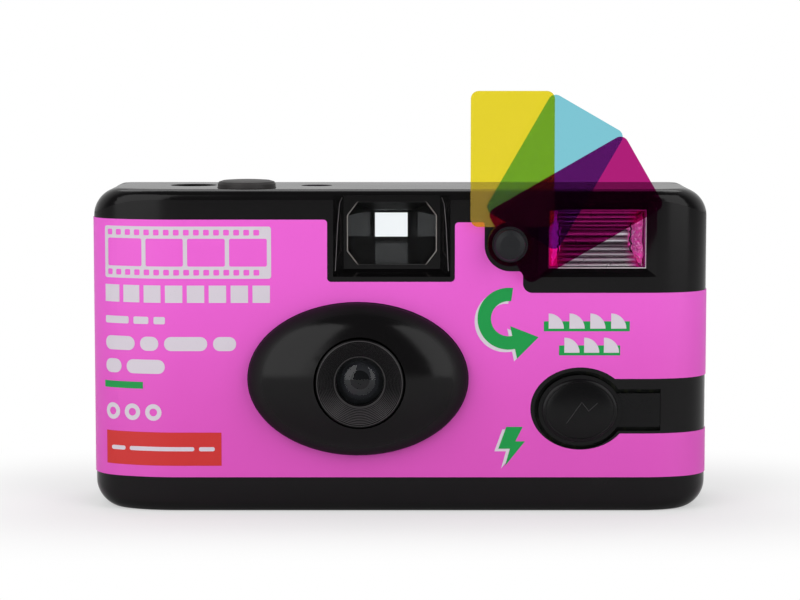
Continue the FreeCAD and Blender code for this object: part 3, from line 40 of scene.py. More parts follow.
class Wire:
    """A socket's value; Python's arithmetic signs on it add Math nodes."""

    def __init__(self, graph, socket):
        self.graph = graph
        self.socket = socket

    def __add__(self, other):
        return self.graph.math("ADD", self, other)

    def __radd__(self, other):
        return self.graph.math("ADD", other, self)

    def __sub__(self, other):
        return self.graph.math("SUBTRACT", self, other)

    def __rsub__(self, other):
        return self.graph.math("SUBTRACT", other, self)

    def __mul__(self, other):
        return self.graph.math("MULTIPLY", self, other)

    def __rmul__(self, other):
        return self.graph.math("MULTIPLY", other, self)

    def __truediv__(self, other):
        return self.graph.math("DIVIDE", self, other)

    def __gt__(self, other):
        return self.graph.math("GREATER_THAN", self, other)

    def __abs__(self):
        return self.graph.math("ABSOLUTE", self)


class Graph:
    """The nodes of one material, of the world or of one geometry tree."""

    def __init__(self, tree):
        self.tree = tree

    def node(self, kind, settings, sockets, output=0):
        """Adds a node, sets it up, then fills its sockets with values or links."""
        made = self.tree.nodes.new(kind)
        for name, value in settings.items():
            setattr(made, name, value)
        for key, value in sockets.items():
            if isinstance(value, Wire):
                self.tree.links.new(value.socket, made.inputs[key])
            else:
                made.inputs[key].default_value = value
        if isinstance(output, tuple):
            return [Wire(self, made.outputs[name]) for name in output]
        return Wire(self, made.outputs[output]) if len(made.outputs) else None

    def math(self, operation, *values):
        return self.node("ShaderNodeMath", {"operation": operation}, dict(enumerate(values)))

    def place(self):
        """The point in the object's own space, in metres."""
        return self.node("ShaderNodeTexCoord", {}, {}, "Object")

    def split(self, vector):
        return self.node("ShaderNodeSeparateXYZ", {}, {0: vector}, ("X", "Y", "Z"))

    def noise(self, scale, detail=2.0, roughness=0.5, vector=None):
        return self.node("ShaderNodeTexNoise", {}, {"Vector": vector or self.place(), "Scale": scale,
                                                    "Detail": detail, "Roughness": roughness}, "Fac")

    def blend(self, share, first, second):
        """The first colour, going over to the second with the share."""
        return self.node("ShaderNodeMix", {"data_type": "RGBA"}, {0: share, 6: first, 7: second}, 2)

    def step(self, value, low, high):
        """Nought below low, one above high, and a smooth rise between."""
        return self.node("ShaderNodeMapRange", {"interpolation_type": "SMOOTHSTEP"},
                         {"Value": value, "From Min": low, "From Max": high})

    def bump(self, height, strength, depth):
        return self.node("ShaderNodeBump", {}, {"Strength": strength, "Distance": depth, "Height": height})


def srgb(red, green, blue):
    """A colour as a paint chart gives it, from 0 to 255, made linear."""
    linear = []
    for part in (red, green, blue):
        share = part / 255
        linear.append(share / 12.92 if share <= 0.04045 else ((share + 0.055) / 1.055) ** 2.4)
    return (*linear, 1.0)


def finish(name):
    """A new empty material and its graph."""
    material = bpy.data.materials.new(name)
    material.use_nodes = True
    material.node_tree.nodes.clear()
    return material, Graph(material.node_tree)


def coat(graph, sockets):
    """Ends a material in one principled surface."""
    shader = graph.node("ShaderNodeBsdfPrincipled", {}, sockets)
    graph.node("ShaderNodeOutputMaterial", {}, {"Surface": shader})


def dress(material, *nodes):
    """Gives CAD nodes a finish."""
    for node in nodes:
        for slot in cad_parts[node].material_slots:
            slot.material = material


mm = 0.001
bulge_x = -8.0
bulge_z = 25.6
bulge_half_width = 20.9
bulge_half_height = 14.55
bulge_foot_y = -15.1
tunnel_dull_rise = 0.4


def moulded(name, colour, low_gloss, high_gloss, grain, grain_strength, shine=0.2, dull_rim=False,
            dull_above=None):
    """Black injection moulding: a cloudy gloss, a fine skin, and paler rubbed patches.

    A dull rim leaves the outer band of the bulge matt; dull_above is a height in millimetres.
    """
    material, graph = finish(name)
    cloud = graph.noise(38.0, 3.0)
    rubbed = graph.step(graph.noise(160.0, 5.0, 0.65), 0.56, 0.78) * graph.step(cloud, 0.45, 0.7)
    paler = tuple(part * 1.5 + 0.0015 for part in colour[:3]) + (1.0,)
    skin = graph.noise(grain, 2.0) + graph.noise(420.0, 2.0) * 0.6
    gloss = low_gloss + (high_gloss - low_gloss) * cloud + rubbed * 0.06
    if dull_rim:
        x, y, z = graph.split(graph.place())
        across = (x - bulge_x * mm) / (bulge_half_width * mm)
        up = (z - bulge_z * mm) / (bulge_half_height * mm)
        reach = graph.math("SQRT", across * across + up * up)
        rim = graph.step(reach, 0.82, 0.96) * (1 - graph.step(reach, 1.02, 1.05))
        gloss = gloss + rim * (0.0 - y > -bulge_foot_y * mm) * 0.5
    if dull_above:
        height = graph.split(graph.place())[2]
        gloss = gloss + graph.step(height, dull_above * mm, (dull_above + tunnel_dull_rise) * mm) * 0.45
    coat(graph, {"Base Color": graph.blend(rubbed, colour, paler), "Roughness": gloss,
                 "Normal": graph.bump(skin, grain_strength, 0.00006), "Specular IOR Level": shine})
    return material


casing_black = moulded("casing_black", srgb(12, 11, 12), 0.1, 0.2, 2600.0, 0.06)
dress(casing_black, "rear_cover", "film_door", "battery_door")
dress(moulded("cover_black", srgb(12, 11, 12), 0.1, 0.2, 2600.0, 0.06, dull_rim=True), "front_cover")
# The shutter button's black is paler than the casing's, as painted highlight for the light on its sides.
button_black_painted_highlight = moulded("button_black_painted_highlight", srgb(58, 56, 56), 0.36, 0.5, 2600.0, 0.1)
dress(button_black_painted_highlight, "shutter_button")

# Front label: a printed vinyl sheet that wraps from one side of the casing round to the other.
# It is die cut round the lens, the viewfinder, the filter pin, the flash and the charge button.
# The pink ground has a fine press grain and a satin film; it is painted darker downwards, as painted shade
# under light from above.
front_reach = 15.0
label_thickness = 0.15
# For each side: where the flat front ends, then the radius and the turn of every arc after it.
bends = {-1: (-41.97, ((28.0, 25.0), (9.0, 65.0))), 1: (46.24, ((20.0, 20.0), (9.0, 70.0)))}


def on_casing(run, out):
    """The plan point that lies run millimetres along the casing's front and out millimetres off it."""
    side = 1 if run > 0 else -1
    x, arcs = bends[side]
    y = -front_reach
    left = (run - x) * side
    normal = -90.0
    if left <= 0:
        return run, y - out
    for radius, turn in arcs:
        centre = (x - radius * math.cos(math.radians(normal)), y - radius * math.sin(math.radians(normal)))
        taken = min(left, radius * math.radians(turn))
        normal += side * math.degrees(taken / radius)
        x = centre[0] + radius * math.cos(math.radians(normal))
        y = centre[1] + radius * math.sin(math.radians(normal))
        left -= taken
    y += left
    return x + out * math.cos(math.radians(normal)), y + out * math.sin(math.radians(normal))


label_pink, graph = finish("label_pink")
# Painted light and shade: the upper pink is painted lit and the lower pink painted shaded, blended by
# height.
painted_lit_pink = srgb(238, 96, 214)
painted_shaded_pink = srgb(222, 82, 192)
ground = graph.blend(graph.step(graph.split(graph.place())[2], 0.01, 0.052), painted_shaded_pink, painted_lit_pink)
fleck = graph.step(graph.noise(2400.0, 2.0), 0.62, 0.8) * 0.12 + graph.noise(55.0, 4.0) * 0.1
fleck_pink = tuple(part * 0.82 for part in painted_shaded_pink[:3]) + (1.0,)
grain = graph.noise(1900.0, 3.0) + graph.noise(60.0, 2.0) * 0.8
coat(graph, {"Base Color": graph.blend(fleck, ground, fleck_pink),
             "Roughness": 0.42 + graph.noise(240.0, 3.0) * 0.12, "Normal": graph.bump(grain, 0.08, 0.00005),
             "Coat Weight": 0.12, "Coat Roughness": 0.3, "Specular IOR Level": 0.3})
dress(label_pink, "front_label", "rear_label")

# Print on the labels: opaque inks laid over the pink ground, each a film of its own.
# Light grey and green carry the plain shapes, and a red bar stands at the lower left.
# The shapes are generic: a strip of film, swatches, bars, dots, fans, a turning arrow and a flash bolt.


def ink(name, colour):
    """Screen ink: nearly flat, with pinholes of a slightly darker tone and a dull gloss."""
    material, graph = finish(name)
    darker = tuple(part * 0.8 for part in colour[:3]) + (1.0,)
    speck = graph.step(graph.noise(3200.0, 2.0), 0.6, 0.8) * 0.3 + graph.noise(300.0, 3.0) * 0.15
    coat(graph, {"Base Color": graph.blend(speck, colour, darker), "Roughness": 0.46 + speck * 0.3,
                 "Normal": graph.bump(graph.noise(2100.0, 2.0), 0.06, 0.00004), "Specular IOR Level": 0.3})
    return material


ink_grey = ink("ink_light_grey", srgb(214, 206, 216))
ink_green = ink("ink_green", srgb(14, 152, 70))
ink_red = ink("ink_red", srgb(205, 48, 46))
ink_depth = 0.025
layer_step = 0.02
first_cut = -42.0
cuts = 18


def closed_piece(name, shape, material, body, smooth_angle=35.0):
    """Turns a closed bmesh in metres into a finished piece on its body."""
    bmesh.ops.recalc_face_normals(shape, faces=shape.faces)
    mesh = bpy.data.meshes.new(name)
    shape.to_mesh(mesh)
    shape.free()
    mesh.materials.append(material)
    mesh.shade_smooth()
    mesh.set_sharp_from_angle(angle=math.radians(smooth_angle))
    piece = bpy.data.objects.new(name, mesh)
    bpy.context.scene.collection.objects.link(piece)
    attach(piece, body)
    return piece


def printed(name, outlines, material, layer, body="camera_body", carrier=on_casing):
    """A film of ink: outlines in millimetres along and up the label, wrapped onto what carries it.

    Cuts at every millimetre where the casing bends let the film follow it.
    """
    film = bmesh.new()
    for outline in outlines:
        ring = [film.verts.new((run, 0, height)) for run, height in outline]
        for i, vert in enumerate(ring):
            film.edges.new((ring[i - 1], vert))
    bmesh.ops.triangle_fill(film, use_beauty=True, edges=film.edges[:])
    for i in range(cuts):
        bmesh.ops.bisect_plane(film, geom=film.verts[:] + film.edges[:] + film.faces[:],
                               plane_co=(first_cut - i, 0, 0), plane_no=(1, 0, 0))
    grown = bmesh.ops.extrude_face_region(film, geom=film.faces[:], use_keep_orig=True)
    for item in grown["geom"]:
        if isinstance(item, bmesh.types.BMVert):
            item.co.y = ink_depth
    for vert in film.verts:
        x, y = carrier(vert.co.x, label_thickness + (layer - 1) * layer_step + vert.co.y)
        vert.co = Vector((x, y, vert.co.z)) * mm
    return closed_piece(name, film, material, body)


def oblong(left, low, right, high, radius=0.0, steps=5):
    """A rectangle's outline, its corners rounded by the radius."""
    if radius == 0.0:
        return [(left, low), (right, low), (right, high), (left, high)]
    points = []
    for x, z, start in ((right - radius, low + radius, -90), (right - radius, high - radius, 0),
                        (left + radius, high - radius, 90), (left + radius, low + radius, 180)):
        for i in range(steps + 1):
            angle = math.radians(start + 90 * i / steps)
            points.append((x + radius * math.cos(angle), z + radius * math.sin(angle)))
    return points


def disc(x, z, radius, steps=28):
    """A circle's outline."""
    turns = [2 * math.pi * i / steps for i in range(steps)]
    return [(x + radius * math.cos(turn), z + radius * math.sin(turn)) for turn in turns]


def shifted(outline, across, up):
    """An outline, moved."""
    return [(x + across, z + up) for x, z in outline]


def film_motif(left, low, frames, pitch, height):
    """A length of film: its outline, then its frames and both rows of perforations as holes."""
    bar = 0.8
    margin = 2.3
    hole = 1.1
    hole_pitch = 1.9
    hole_inset = 0.6
    first_hole = 0.75
    plain_ends = 0.9
    right = left + frames * pitch + bar
    outlines = [oblong(left, low, right, low + height, 0.5)]
    for i in range(frames):
        start = left + bar + i * pitch
        outlines.append(oblong(start, low + margin, start + pitch - bar, low + height - margin, 0.3, 2))
    holes = int((right - left - plain_ends) / hole_pitch)
    for i in range(holes):
        start = left + first_hole + i * hole_pitch
        for bottom in (low + hole_inset, low + height - hole_inset - hole):
            outlines.append(oblong(start, bottom, start + hole, bottom + hole, 0.2, 2))
    return outlines


def row(left, low, high, widths, gap, radius):
    """Rounded bars side by side."""
    outlines = []
    for width in widths:
        outlines.append(oblong(left, low, left + width, high, radius))
        left += width + gap
    return outlines


print_left = -57.0
printed("print_film_strip", film_motif(print_left, 44.7, 4, 7.95, 9.9), ink_grey, 1)
printed("print_swatches", row(print_left, 40.1, 43.4, [3.3] * 8, 0.85, 0.0), ink_grey, 1)
printed("print_thin_bars", row(print_left, 36.0, 37.4, [5.2, 3.0, 2.2], 1.0, 0.3), ink_grey, 1)
printed("print_bars", row(print_left, 30.9, 33.6, [6.4, 3.6, 8.2, 4.4], 1.1, 1.3)
        + row(print_left, 26.5, 29.2, [3.6, 7.6], 1.1, 1.3), ink_grey, 1)
printed("print_green_line", [oblong(print_left - 0.4, 23.6, -49.0, 24.9)], ink_green, 1)
printed("print_dots", [disc(print_left + 1.6 + 4.2 * i, 19.1, 1.6) for i in range(3)]
        + [disc(print_left + 1.6 + 4.2 * i, 19.1, 0.75, 20) for i in range(3)], ink_grey, 1)
printed("print_red_bar", [oblong(print_left, 8.9, -34.0, 15.3)], ink_red, 1)
printed("print_red_bar_line", row(print_left + 1.3, 11.7, 12.5, [3.0, 12.6, 3.0], 0.9, 0.35), ink_grey, 2)


def turning_arrow(x, z, radius, width, start, end):
    """A band that turns anticlockwise and ends in a broad head."""
    steps = 30
    sweep = [math.radians(start + (end - start) * i / steps) for i in range(steps + 1)]
    outer = [(x + radius * math.cos(a), z + radius * math.sin(a)) for a in sweep]
    inner = [(x + (radius - width) * math.cos(a), z + (radius - width) * math.sin(a)) for a in sweep]
    last = sweep[-1]
    out = (math.cos(last), math.sin(last))
    along = (-out[1], out[0])
    middle = radius - width / 2
    half_head = width * 1.25
    head = []
    for reach, ahead in ((half_head, 0), (0, width * 1.9), (-half_head, 0)):
        head.append((x + out[0] * (middle + reach) + along[0] * ahead,
                     z + out[1] * (middle + reach) + along[1] * ahead))
    return outer + head + inner[::-1]


def bolt(left, low, width, height):
    """The outline of a flash bolt."""
    corners = ((0.34, 1), (0.92, 1), (0.66, 0.63), (1, 0.63), (0.3, 0), (0.47, 0.44), (0.06, 0.44))
    return [(left + width * across, low + height * up) for across, up in corners]


arrow = turning_arrow(20.6, 37.1, 5.9, 2.55, 82.0, 282.0)
printed("print_arrow_shade", [shifted(arrow, -0.55, -0.5)], ink_grey, 1)
printed("print_arrow", [arrow], ink_green, 2)
flash_sign = bolt(18.4, 8.9, 5.4, 7.5)
printed("print_bolt_shade", [shifted(flash_sign, -0.75, -0.5)], ink_grey, 1)
printed("print_bolt", [flash_sign], ink_green, 2)
printed("print_green_bars", [oblong(27.3, 34.7, 43.6, 36.6), oblong(30.2, 30.1, 41.8, 32.0)], ink_green, 1)


def leaf_signs(x, z, size, count, pitch):
    """A rising row of small fans, each a quarter disc."""
    outlines = []
    for i in range(count):
        left = x + i * pitch
        arc = [(left + size * math.cos(math.radians(a)), z + size * math.sin(math.radians(a)))
               for a in range(0, 91, 10)]
        outlines.append([(left, z)] + arc)
    return outlines


printed("print_fans", leaf_signs(28.2, 35.2, 2.9, 4, 3.95) + leaf_signs(31.2, 30.6, 2.9, 3, 3.75),
        ink_grey, 2)
door_back = 16.0


def on_door(run, out):
    """The film door's flat back, read from behind, so runs go the other way."""
    return -run, door_back + out


rear_left = -44.0
for name, outlines, rear_ink in (
        ("print_rear_strip", film_motif(rear_left, 32.0, 5, 8.4, 10.4), ink_grey),
        ("print_rear_bars", row(rear_left, 25.6, 28.2, [9.0, 5.0, 12.0, 7.0], 1.2, 1.2)
         + row(rear_left, 20.8, 23.4, [5.0, 10.0, 6.0], 1.2, 1.2), ink_grey),
        ("print_rear_arrow", [turning_arrow(27.0, 25.0, 8.0, 3.2, 60.0, 300.0)], ink_green),
        ("print_rear_line", [oblong(rear_left, 16.0, -26.0, 17.6)], ink_green)):
    printed(name, outlines, rear_ink, 1, "door", on_door)

# Lens: a bezel with a grooved dish screwed round a single moulded meniscus lens.
# Behind the glass lie a spacer, a steel stop and the plastic mount that carries them.
# The bezel is satin black; turned rings catch the light in its dish, and their lower side is painted paler,
# as painted reflection.
satin_black = moulded("satin_black", srgb(9, 9, 10), 0.2, 0.32, 3000.0, 0.1)
dress(satin_black, "lens_bezel", "lens_mount", "flash_button", "door_latch", "loading_key")


def solid_clear(name, tint, bend, metal_behind=False):
    """Clear moulded plastic or glass, with a trace of dust in its gloss.

    Shadow rays and rays that a dull face scatters pass straight; so do mirrored rays if metal is behind.
    """
    material, graph = finish(name)
    smear = graph.step(graph.noise(180.0, 4.0, 0.6), 0.5, 0.8)
    glass = graph.node("ShaderNodeBsdfPrincipled", {}, {
        "Base Color": tint, "Transmission Weight": 1.0, "IOR": bend, "Roughness": smear * 0.02})
    open_air = graph.node("ShaderNodeBsdfTransparent", {}, {"Color": tint})
    shadow, scattered, mirrored = graph.node("ShaderNodeLightPath", {}, {},
                                             ("Is Shadow Ray", "Is Diffuse Ray", "Is Glossy Ray"))
    straight = graph.math("MAXIMUM", shadow, scattered)
    if metal_behind:
        straight = graph.math("MAXIMUM", straight, mirrored)
    mixed = graph.node("ShaderNodeMixShader", {}, {0: straight, 1: glass, 2: open_air})
    graph.node("ShaderNodeOutputMaterial", {}, {"Surface": mixed})
    return material


clear = solid_clear("clear_plastic", (0.94, 0.96, 0.97, 1.0), 1.15)
dress(solid_clear("lens_glass", (0.8, 0.82, 0.84, 1.0), 1.4, metal_behind=True), "taking_lens")
dress(clear, "viewfinder_front_lens", "viewfinder_eyepiece", "flash_window", "flash_tube")


def geometry_tree(name, inputs):
    """A geometry tree with named number inputs, and the wires that bring them in."""
    tree = bpy.data.node_groups.new(name, "GeometryNodeTree")
    tree.interface.new_socket("Geometry", in_out="OUTPUT", socket_type="NodeSocketGeometry")
    for label, value in inputs.items():
        kind = "NodeSocketInt" if isinstance(value, int) else "NodeSocketFloat"
        tree.interface.new_socket(label, in_out="INPUT", socket_type=kind)
    graph = Graph(tree)
    return graph, graph.node("NodeGroupInput", {}, {}, tuple(inputs))


def grow(name, graph, shape, material, inputs, body):
    """Ends a geometry tree, runs it with its inputs set, and keeps the plain mesh."""
    real = graph.node("GeometryNodeRealizeInstances", {}, {0: shape})
    coated = graph.node("GeometryNodeSetMaterial", {}, {"Geometry": real, "Material": material})
    graph.node("NodeGroupOutput", {}, {0: coated})
    piece = bpy.data.objects.new(name, bpy.data.meshes.new(name + "_seed"))
    bpy.context.scene.collection.objects.link(piece)
    modifier = piece.modifiers.new("form", "NODES")
    modifier.node_group = graph.tree
    for item in graph.tree.interface.items_tree:
        if item.in_out == "INPUT":
            modifier[item.identifier] = inputs[item.name]
    evaluated = piece.evaluated_get(bpy.context.evaluated_depsgraph_get())
    mesh = bpy.data.meshes.new_from_object(evaluated)
    piece.modifiers.clear()
    piece.data = mesh
    mesh.shade_smooth()
    mesh.set_sharp_from_angle(angle=math.radians(40))
    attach(piece, body)
    return piece


lens_x = -7.6
lens_z = 25.5
turned_black, graph = finish("turned_black")
# Painted reflection: the rings below the lens axis are paler than those above.
painted_lower_reflection = graph.step(lens_z * mm - graph.split(graph.place())[2], 0.0, 0.006)
tool_mark = graph.noise(1500.0, 3.0)
coat(graph, {"Base Color": graph.blend(painted_lower_reflection, srgb(27, 26, 27), srgb(68, 65, 67)),
             "Roughness": 0.16 + 0.12 * tool_mark, "Normal": graph.bump(tool_mark, 0.05, 0.00004),
             "Specular IOR Level": 0.2})
ring_inputs = {"Rings": 11, "First radius": 0.00500, "Radius step": 0.00027, "First depth": -0.01936,
               "Depth step": -0.00025, "Wire radius": 0.00009}
graph, (rings, first, widen, depth, rise, wire) = geometry_tree("bezel_rings", ring_inputs)
number = graph.node("GeometryNodeInputIndex", {}, {})
spots = graph.node("GeometryNodeMeshLine", {}, {"Count": rings})
heights = graph.node("ShaderNodeCombineXYZ", {}, {"Y": depth + number * rise})
spots = graph.node("GeometryNodeSetPosition", {}, {"Geometry": spots, "Position": heights})
hoop = graph.node("GeometryNodeCurvePrimitiveCircle", {"mode": "RADIUS"}, {"Resolution": 96, "Radius": 1.0})
sizes = graph.node("ShaderNodeCombineXYZ", {}, {"X": first + number * widen, "Y": first + number * widen,
                                                "Z": 1.0})
hoops = graph.node("GeometryNodeInstanceOnPoints", {}, {
    "Points": spots, "Instance": hoop, "Rotation": (math.pi / 2, 0, 0), "Scale": sizes})
section = graph.node("GeometryNodeCurvePrimitiveCircle", {"mode": "RADIUS"},
                     {"Resolution": 6, "Radius": wire})
tubes = graph.node("GeometryNodeCurveToMesh", {}, {
    "Curve": graph.node("GeometryNodeRealizeInstances", {}, {0: hoops}), "Profile Curve": section})
tubes = graph.node("GeometryNodeTransform", {}, {"Geometry": tubes,
                                                 "Translation": (lens_x * mm, 0, lens_z * mm)})
grow("bezel_turned_rings", graph, tubes, turned_black, ring_inputs, "camera_body")

# Charge button: an oval plate moulded in one with its springy arm, in the bezel's satin black.
# Its face is a low dome with a ridge inside the rim and a raised zigzag, both polished by the tool; the
# zigzag's black is painted paler, as painted highlight.


def bead(name, points, radius, material, body, closed=True):
    """A fine rounded edge along points in millimetres; an open one is capped at both ends."""
    sides = 8
    spots = [Vector(point) * mm for point in points]
    count = len(spots)
    strip = bmesh.new()
    rings = []
    for i, spot in enumerate(spots):
        before = spots[i - 1] if closed or i else spot
        after = spots[(i + 1) % count] if closed or i < count - 1 else spot
        along = (after - before).normalized()
        side = along.cross(Vector((0, 1, 0)) if abs(along.y) < 0.9 else Vector((1, 0, 0))).normalized()
        up = side.cross(along)
        rings.append([strip.verts.new(spot + (side * math.cos(a) + up * math.sin(a)) * radius * mm)
                      for a in (2 * math.pi * k / sides for k in range(sides))])
    for i in range(count if closed else count - 1):
        low, high = rings[i], rings[(i + 1) % count]
        for k in range(sides):
            strip.faces.new((low[k], low[(k + 1) % sides], high[(k + 1) % sides], high[k]))
    if not closed:
        strip.faces.new(rings[0])
        strip.faces.new(rings[-1])
    return closed_piece(name, strip, material, body, 60.0)


charge_x = 34.2
charge_y = -15.5
charge_z = 19.6
dome_rise = 1.1
dome_half_width = 7.2
dome_half_height = 6.05


def on_charge_dome(x, z):
    """The point on the charge button's domed face at x and z from its middle."""
    rise = dome_rise * math.sqrt(1 - (x / dome_half_width) ** 2 - (z / dome_half_height) ** 2)
    return charge_x + x, charge_y - rise, charge_z + z


raised_sign = []
sign_corners = [(-2.6, -2.4), (0.3, 1.7), (1.6, 0.0), (3.7, 1.9)]
points_per_side = 5
for start, end in zip(sign_corners, sign_corners[1:]):
    for i in range(points_per_side):
        raised_sign.append(on_charge_dome(start[0] + (end[0] - start[0]) * i / points_per_side,
                                          start[1] + (end[1] - start[1]) * i / points_per_side))
# The zigzag's paler black is painted highlight.
sign_black_painted_highlight = moulded("sign_black_painted_highlight", srgb(48, 47, 48), 0.14, 0.3, 3000.0, 0.03)
bead("charge_button_sign", raised_sign, 0.08, sign_black_painted_highlight, "charge_button", closed=False)
ridge_turns = [2 * math.pi * i / 72 for i in range(72)]
bead("charge_button_ridge", [on_charge_dome(6.55 * math.cos(a), 5.45 * math.sin(a)) for a in ridge_turns],
     0.16, satin_black, "charge_button")

# Edges round the lens: the bezel's front edge and inner lip, and the edge of the hole in the bulge.
# They are part of the mouldings, rounded and polished by the tool; their thin lines of light are painted,
# as a grey paler than the black round them.


def hoop_points(radius, depth, steps=96):
    """A circle about the lens axis at a depth."""
    turns = [2 * math.pi * i / steps for i in range(steps)]
    return [(lens_x + radius * math.cos(a), depth, lens_z + radius * math.sin(a)) for a in turns]


# Painted highlight: these edges are a mid grey rather than the casing's black.
rim_painted_highlight = moulded("rim_painted_highlight", srgb(62, 60, 61), 0.1, 0.22, 3000.0, 0.03)
bead("bezel_front_edge", hoop_points(8.0, -21.85), 0.13, rim_painted_highlight, "camera_body")
bulge_base_y = -15.58
bulge_rise = 6.9


def on_bulge(radius, turn):
    """The point on the bulge's dome at a radius and angle about the lens axis."""
    x = lens_x + radius * math.cos(turn)
    z = lens_z + radius * math.sin(turn)
    across = (x - bulge_x) / bulge_half_width
    up = (z - bulge_z) / bulge_half_height
    return x, bulge_base_y - bulge_rise * math.sqrt(1 - across ** 2 - up ** 2), z


bead("bulge_hole_edge", [on_bulge(8.75, 2 * math.pi * i / 96) for i in range(96)], 0.07, rim_painted_highlight,
     "camera_body")
bead("bezel_inner_lip", hoop_points(4.8, -19.15), 0.14, rim_painted_highlight, "camera_body")

# Viewfinder front: the recess's side edges and the eight-sided frame edge are left slightly proud.
# They are part of the moulding, and polished by the tool; their thin lines of light are painted: the recess
# edges are a pale grey, and the frame edge turns pale towards its sides, as painted highlight.
finder_x = -1.55
finder_z = 53.05
frame_y = -10.55
frame_half = 8.5
frame_rise = 6.0
frame_cut = 2.0
frame_drop = 2.6
finder_edge_painted_highlight, graph = finish("finder_edge_painted_highlight")
away = abs(graph.split(graph.place())[0] - finder_x * mm)
# Painted highlight: the frame edge turns pale away from the finder's middle, varied by noise.
painted_side_highlight = graph.step(away, 0.0062, 0.0070) * (0.6 + 0.4 * graph.noise(600.0))
coat(graph, {"Base Color": graph.blend(painted_side_highlight, srgb(34, 32, 33), srgb(176, 168, 164)),
             "Roughness": 0.2 + 0.1 * painted_side_highlight, "Normal": graph.bump(painted_side_highlight, 0.03, 0.00003)})
# The recess edges are a pale grey, as painted highlight.
wall_edge_painted_highlight = moulded("wall_edge_painted_highlight", srgb(112, 108, 110), 0.12, 0.2, 2600.0, 0.03)
frame_corners = [(-frame_half, -frame_rise + frame_drop), (-frame_half + frame_cut, -frame_rise),
                 (frame_half - frame_cut, -frame_rise), (frame_half, -frame_rise + frame_drop),
                 (frame_half, frame_rise - frame_drop), (frame_half - frame_cut, frame_rise),
                 (-frame_half + frame_cut, frame_rise), (-frame_half, frame_rise - frame_drop)]
bead("finder_frame_edge", [(finder_x + x, frame_y, finder_z + z) for x, z in frame_corners], 0.11,
     finder_edge_painted_highlight, "camera_body")
# One side edge of the recess: how far from the finder's middle, then the depth and the height.
recess_edge = [(10.75, -14.2, 46.1), (10.55, -13.7, 50.0), (10.3, -13.1, 55.0), (9.95, -12.3, 58.8),
               (9.5, -11.4, 59.9)]
for side, label in ((-1, "left"), (1, "right")):
    edge = [(finder_x + side * away, depth, height) for away, depth, height in recess_edge]
    bead("finder_recess_edge_" + label, edge, 0.09, wall_edge_painted_highlight, "camera_body", closed=False)

# Inner frame and mechanism: matt black mouldings that carry the film gate, rails and bearings.
# Their surface is spark eroded, so it scatters light; wheels, spools, lever and pawl are of the same black.
# The viewfinder tunnel alone is polished, up to its matt ceiling.


def eroded(name, colour, gloss, grain, shine=0.35):
    """A spark-eroded skin: fine pits and paler clouds."""
    material, graph = finish(name)
    pits = graph.node("ShaderNodeTexVoronoi", {}, {"Vector": graph.place(), "Scale": grain}, "Distance")
    cloud = graph.noise(70.0, 3.0)
    paler = tuple(part * 1.9 + 0.002 for part in colour[:3]) + (1.0,)
    coat(graph, {"Base Color": graph.blend(graph.step(cloud, 0.5, 0.8) * 0.5, colour, paler),
                 "Roughness": gloss + cloud * 0.14, "Specular IOR Level": shine,
                 "Normal": graph.bump(pits + graph.noise(grain * 0.6, 2.0), 0.28, 0.00006)})
    return material


frame_black = eroded("frame_black", srgb(26, 26, 27), 0.5, 3800.0)
tunnel_black = moulded("tunnel_black", srgb(11, 10, 10), 0.06, 0.12, 2600.0, 0.02, 0.003, dull_above=56.0)
dress(tunnel_black, "viewfinder_tunnel")
dress(frame_black, "main_frame", "release_lever", "film_advance_wheel", "sprocket_shaft", "supply_spool",
      "cartridge_spool", "ratchet_pawl", "lens_spacer", "pressure_plate")

# Filter set: three tinted leaves of clear styrene, fanned out on one pin over the flash.
# Each leaf is stamped from sheet; the yellow sheet is slightly cloudy, and the others are clear.
# Light that falls through a leaf onto what lies behind it is tinted less than the leaf looks.


def tinted(name, colour, cloudiness, gloss):
    """Tinted sheet: each face passes light in the colour and scatters a small share back."""
    shade_share = 0.22
    material, graph = finish(name)
    streak = graph.noise(130.0, 3.0)
    through = graph.node("ShaderNodeBsdfTransparent", {}, {"Color": colour})
    haze = (min(1.0, colour[0] * 1.15), colour[1] * 0.85, colour[2] + 0.14, 1.0)
    skin = graph.node("ShaderNodeBsdfPrincipled", {}, {
        "Base Color": haze, "Roughness": gloss + streak * 0.05, "Specular IOR Level": 0.5,
        "Normal": graph.bump(streak, 0.03, 0.0001)})
    mixed = graph.node("ShaderNodeMixShader", {}, {
        0: cloudiness * (0.8 + 0.4 * graph.noise(45.0, 3.0)), 1: through, 2: skin})
    paler = tuple(1 - (1 - part) * shade_share for part in colour[:3]) + (1.0,)
    shade = graph.node("ShaderNodeBsdfTransparent", {}, {"Color": paler})
    seen, passes, shadow = graph.node("ShaderNodeLightPath", {}, {},
                                      ("Is Camera Ray", "Transparent Depth", "Is Shadow Ray"))
    lit_through = graph.math("MAXIMUM", shadow, (1 - seen) * (passes > 1.5))
    mixed = graph.node("ShaderNodeMixShader", {}, {0: lit_through, 1: mixed, 2: shade})
    graph.node("ShaderNodeOutputMaterial", {}, {"Surface": mixed})
    return material


yellow_sheet = tinted("yellow_sheet", (0.86, 0.81, 0.05, 1.0), 0.14, 0.12)
cyan_sheet = tinted("cyan_sheet", (0.46, 0.75, 0.81, 1.0), 0.002, 0.08)
magenta_sheet = tinted("magenta_sheet", (0.65, 0.12, 0.43, 1.0), 0.002, 0.08)
dress(yellow_sheet, "filter_yellow")
dress(cyan_sheet, "filter_cyan")
dress(magenta_sheet, "filter_magenta")

# Filter knob: a small domed cap of black plastic, pressed on the pin in front of the leaves.
# Its face is spark eroded and duller than the casing.
knob_matt = eroded("knob_matt", srgb(24, 25, 28), 0.42, 5200.0, 0.25)
dress(knob_matt, "filter_pivot_knob")

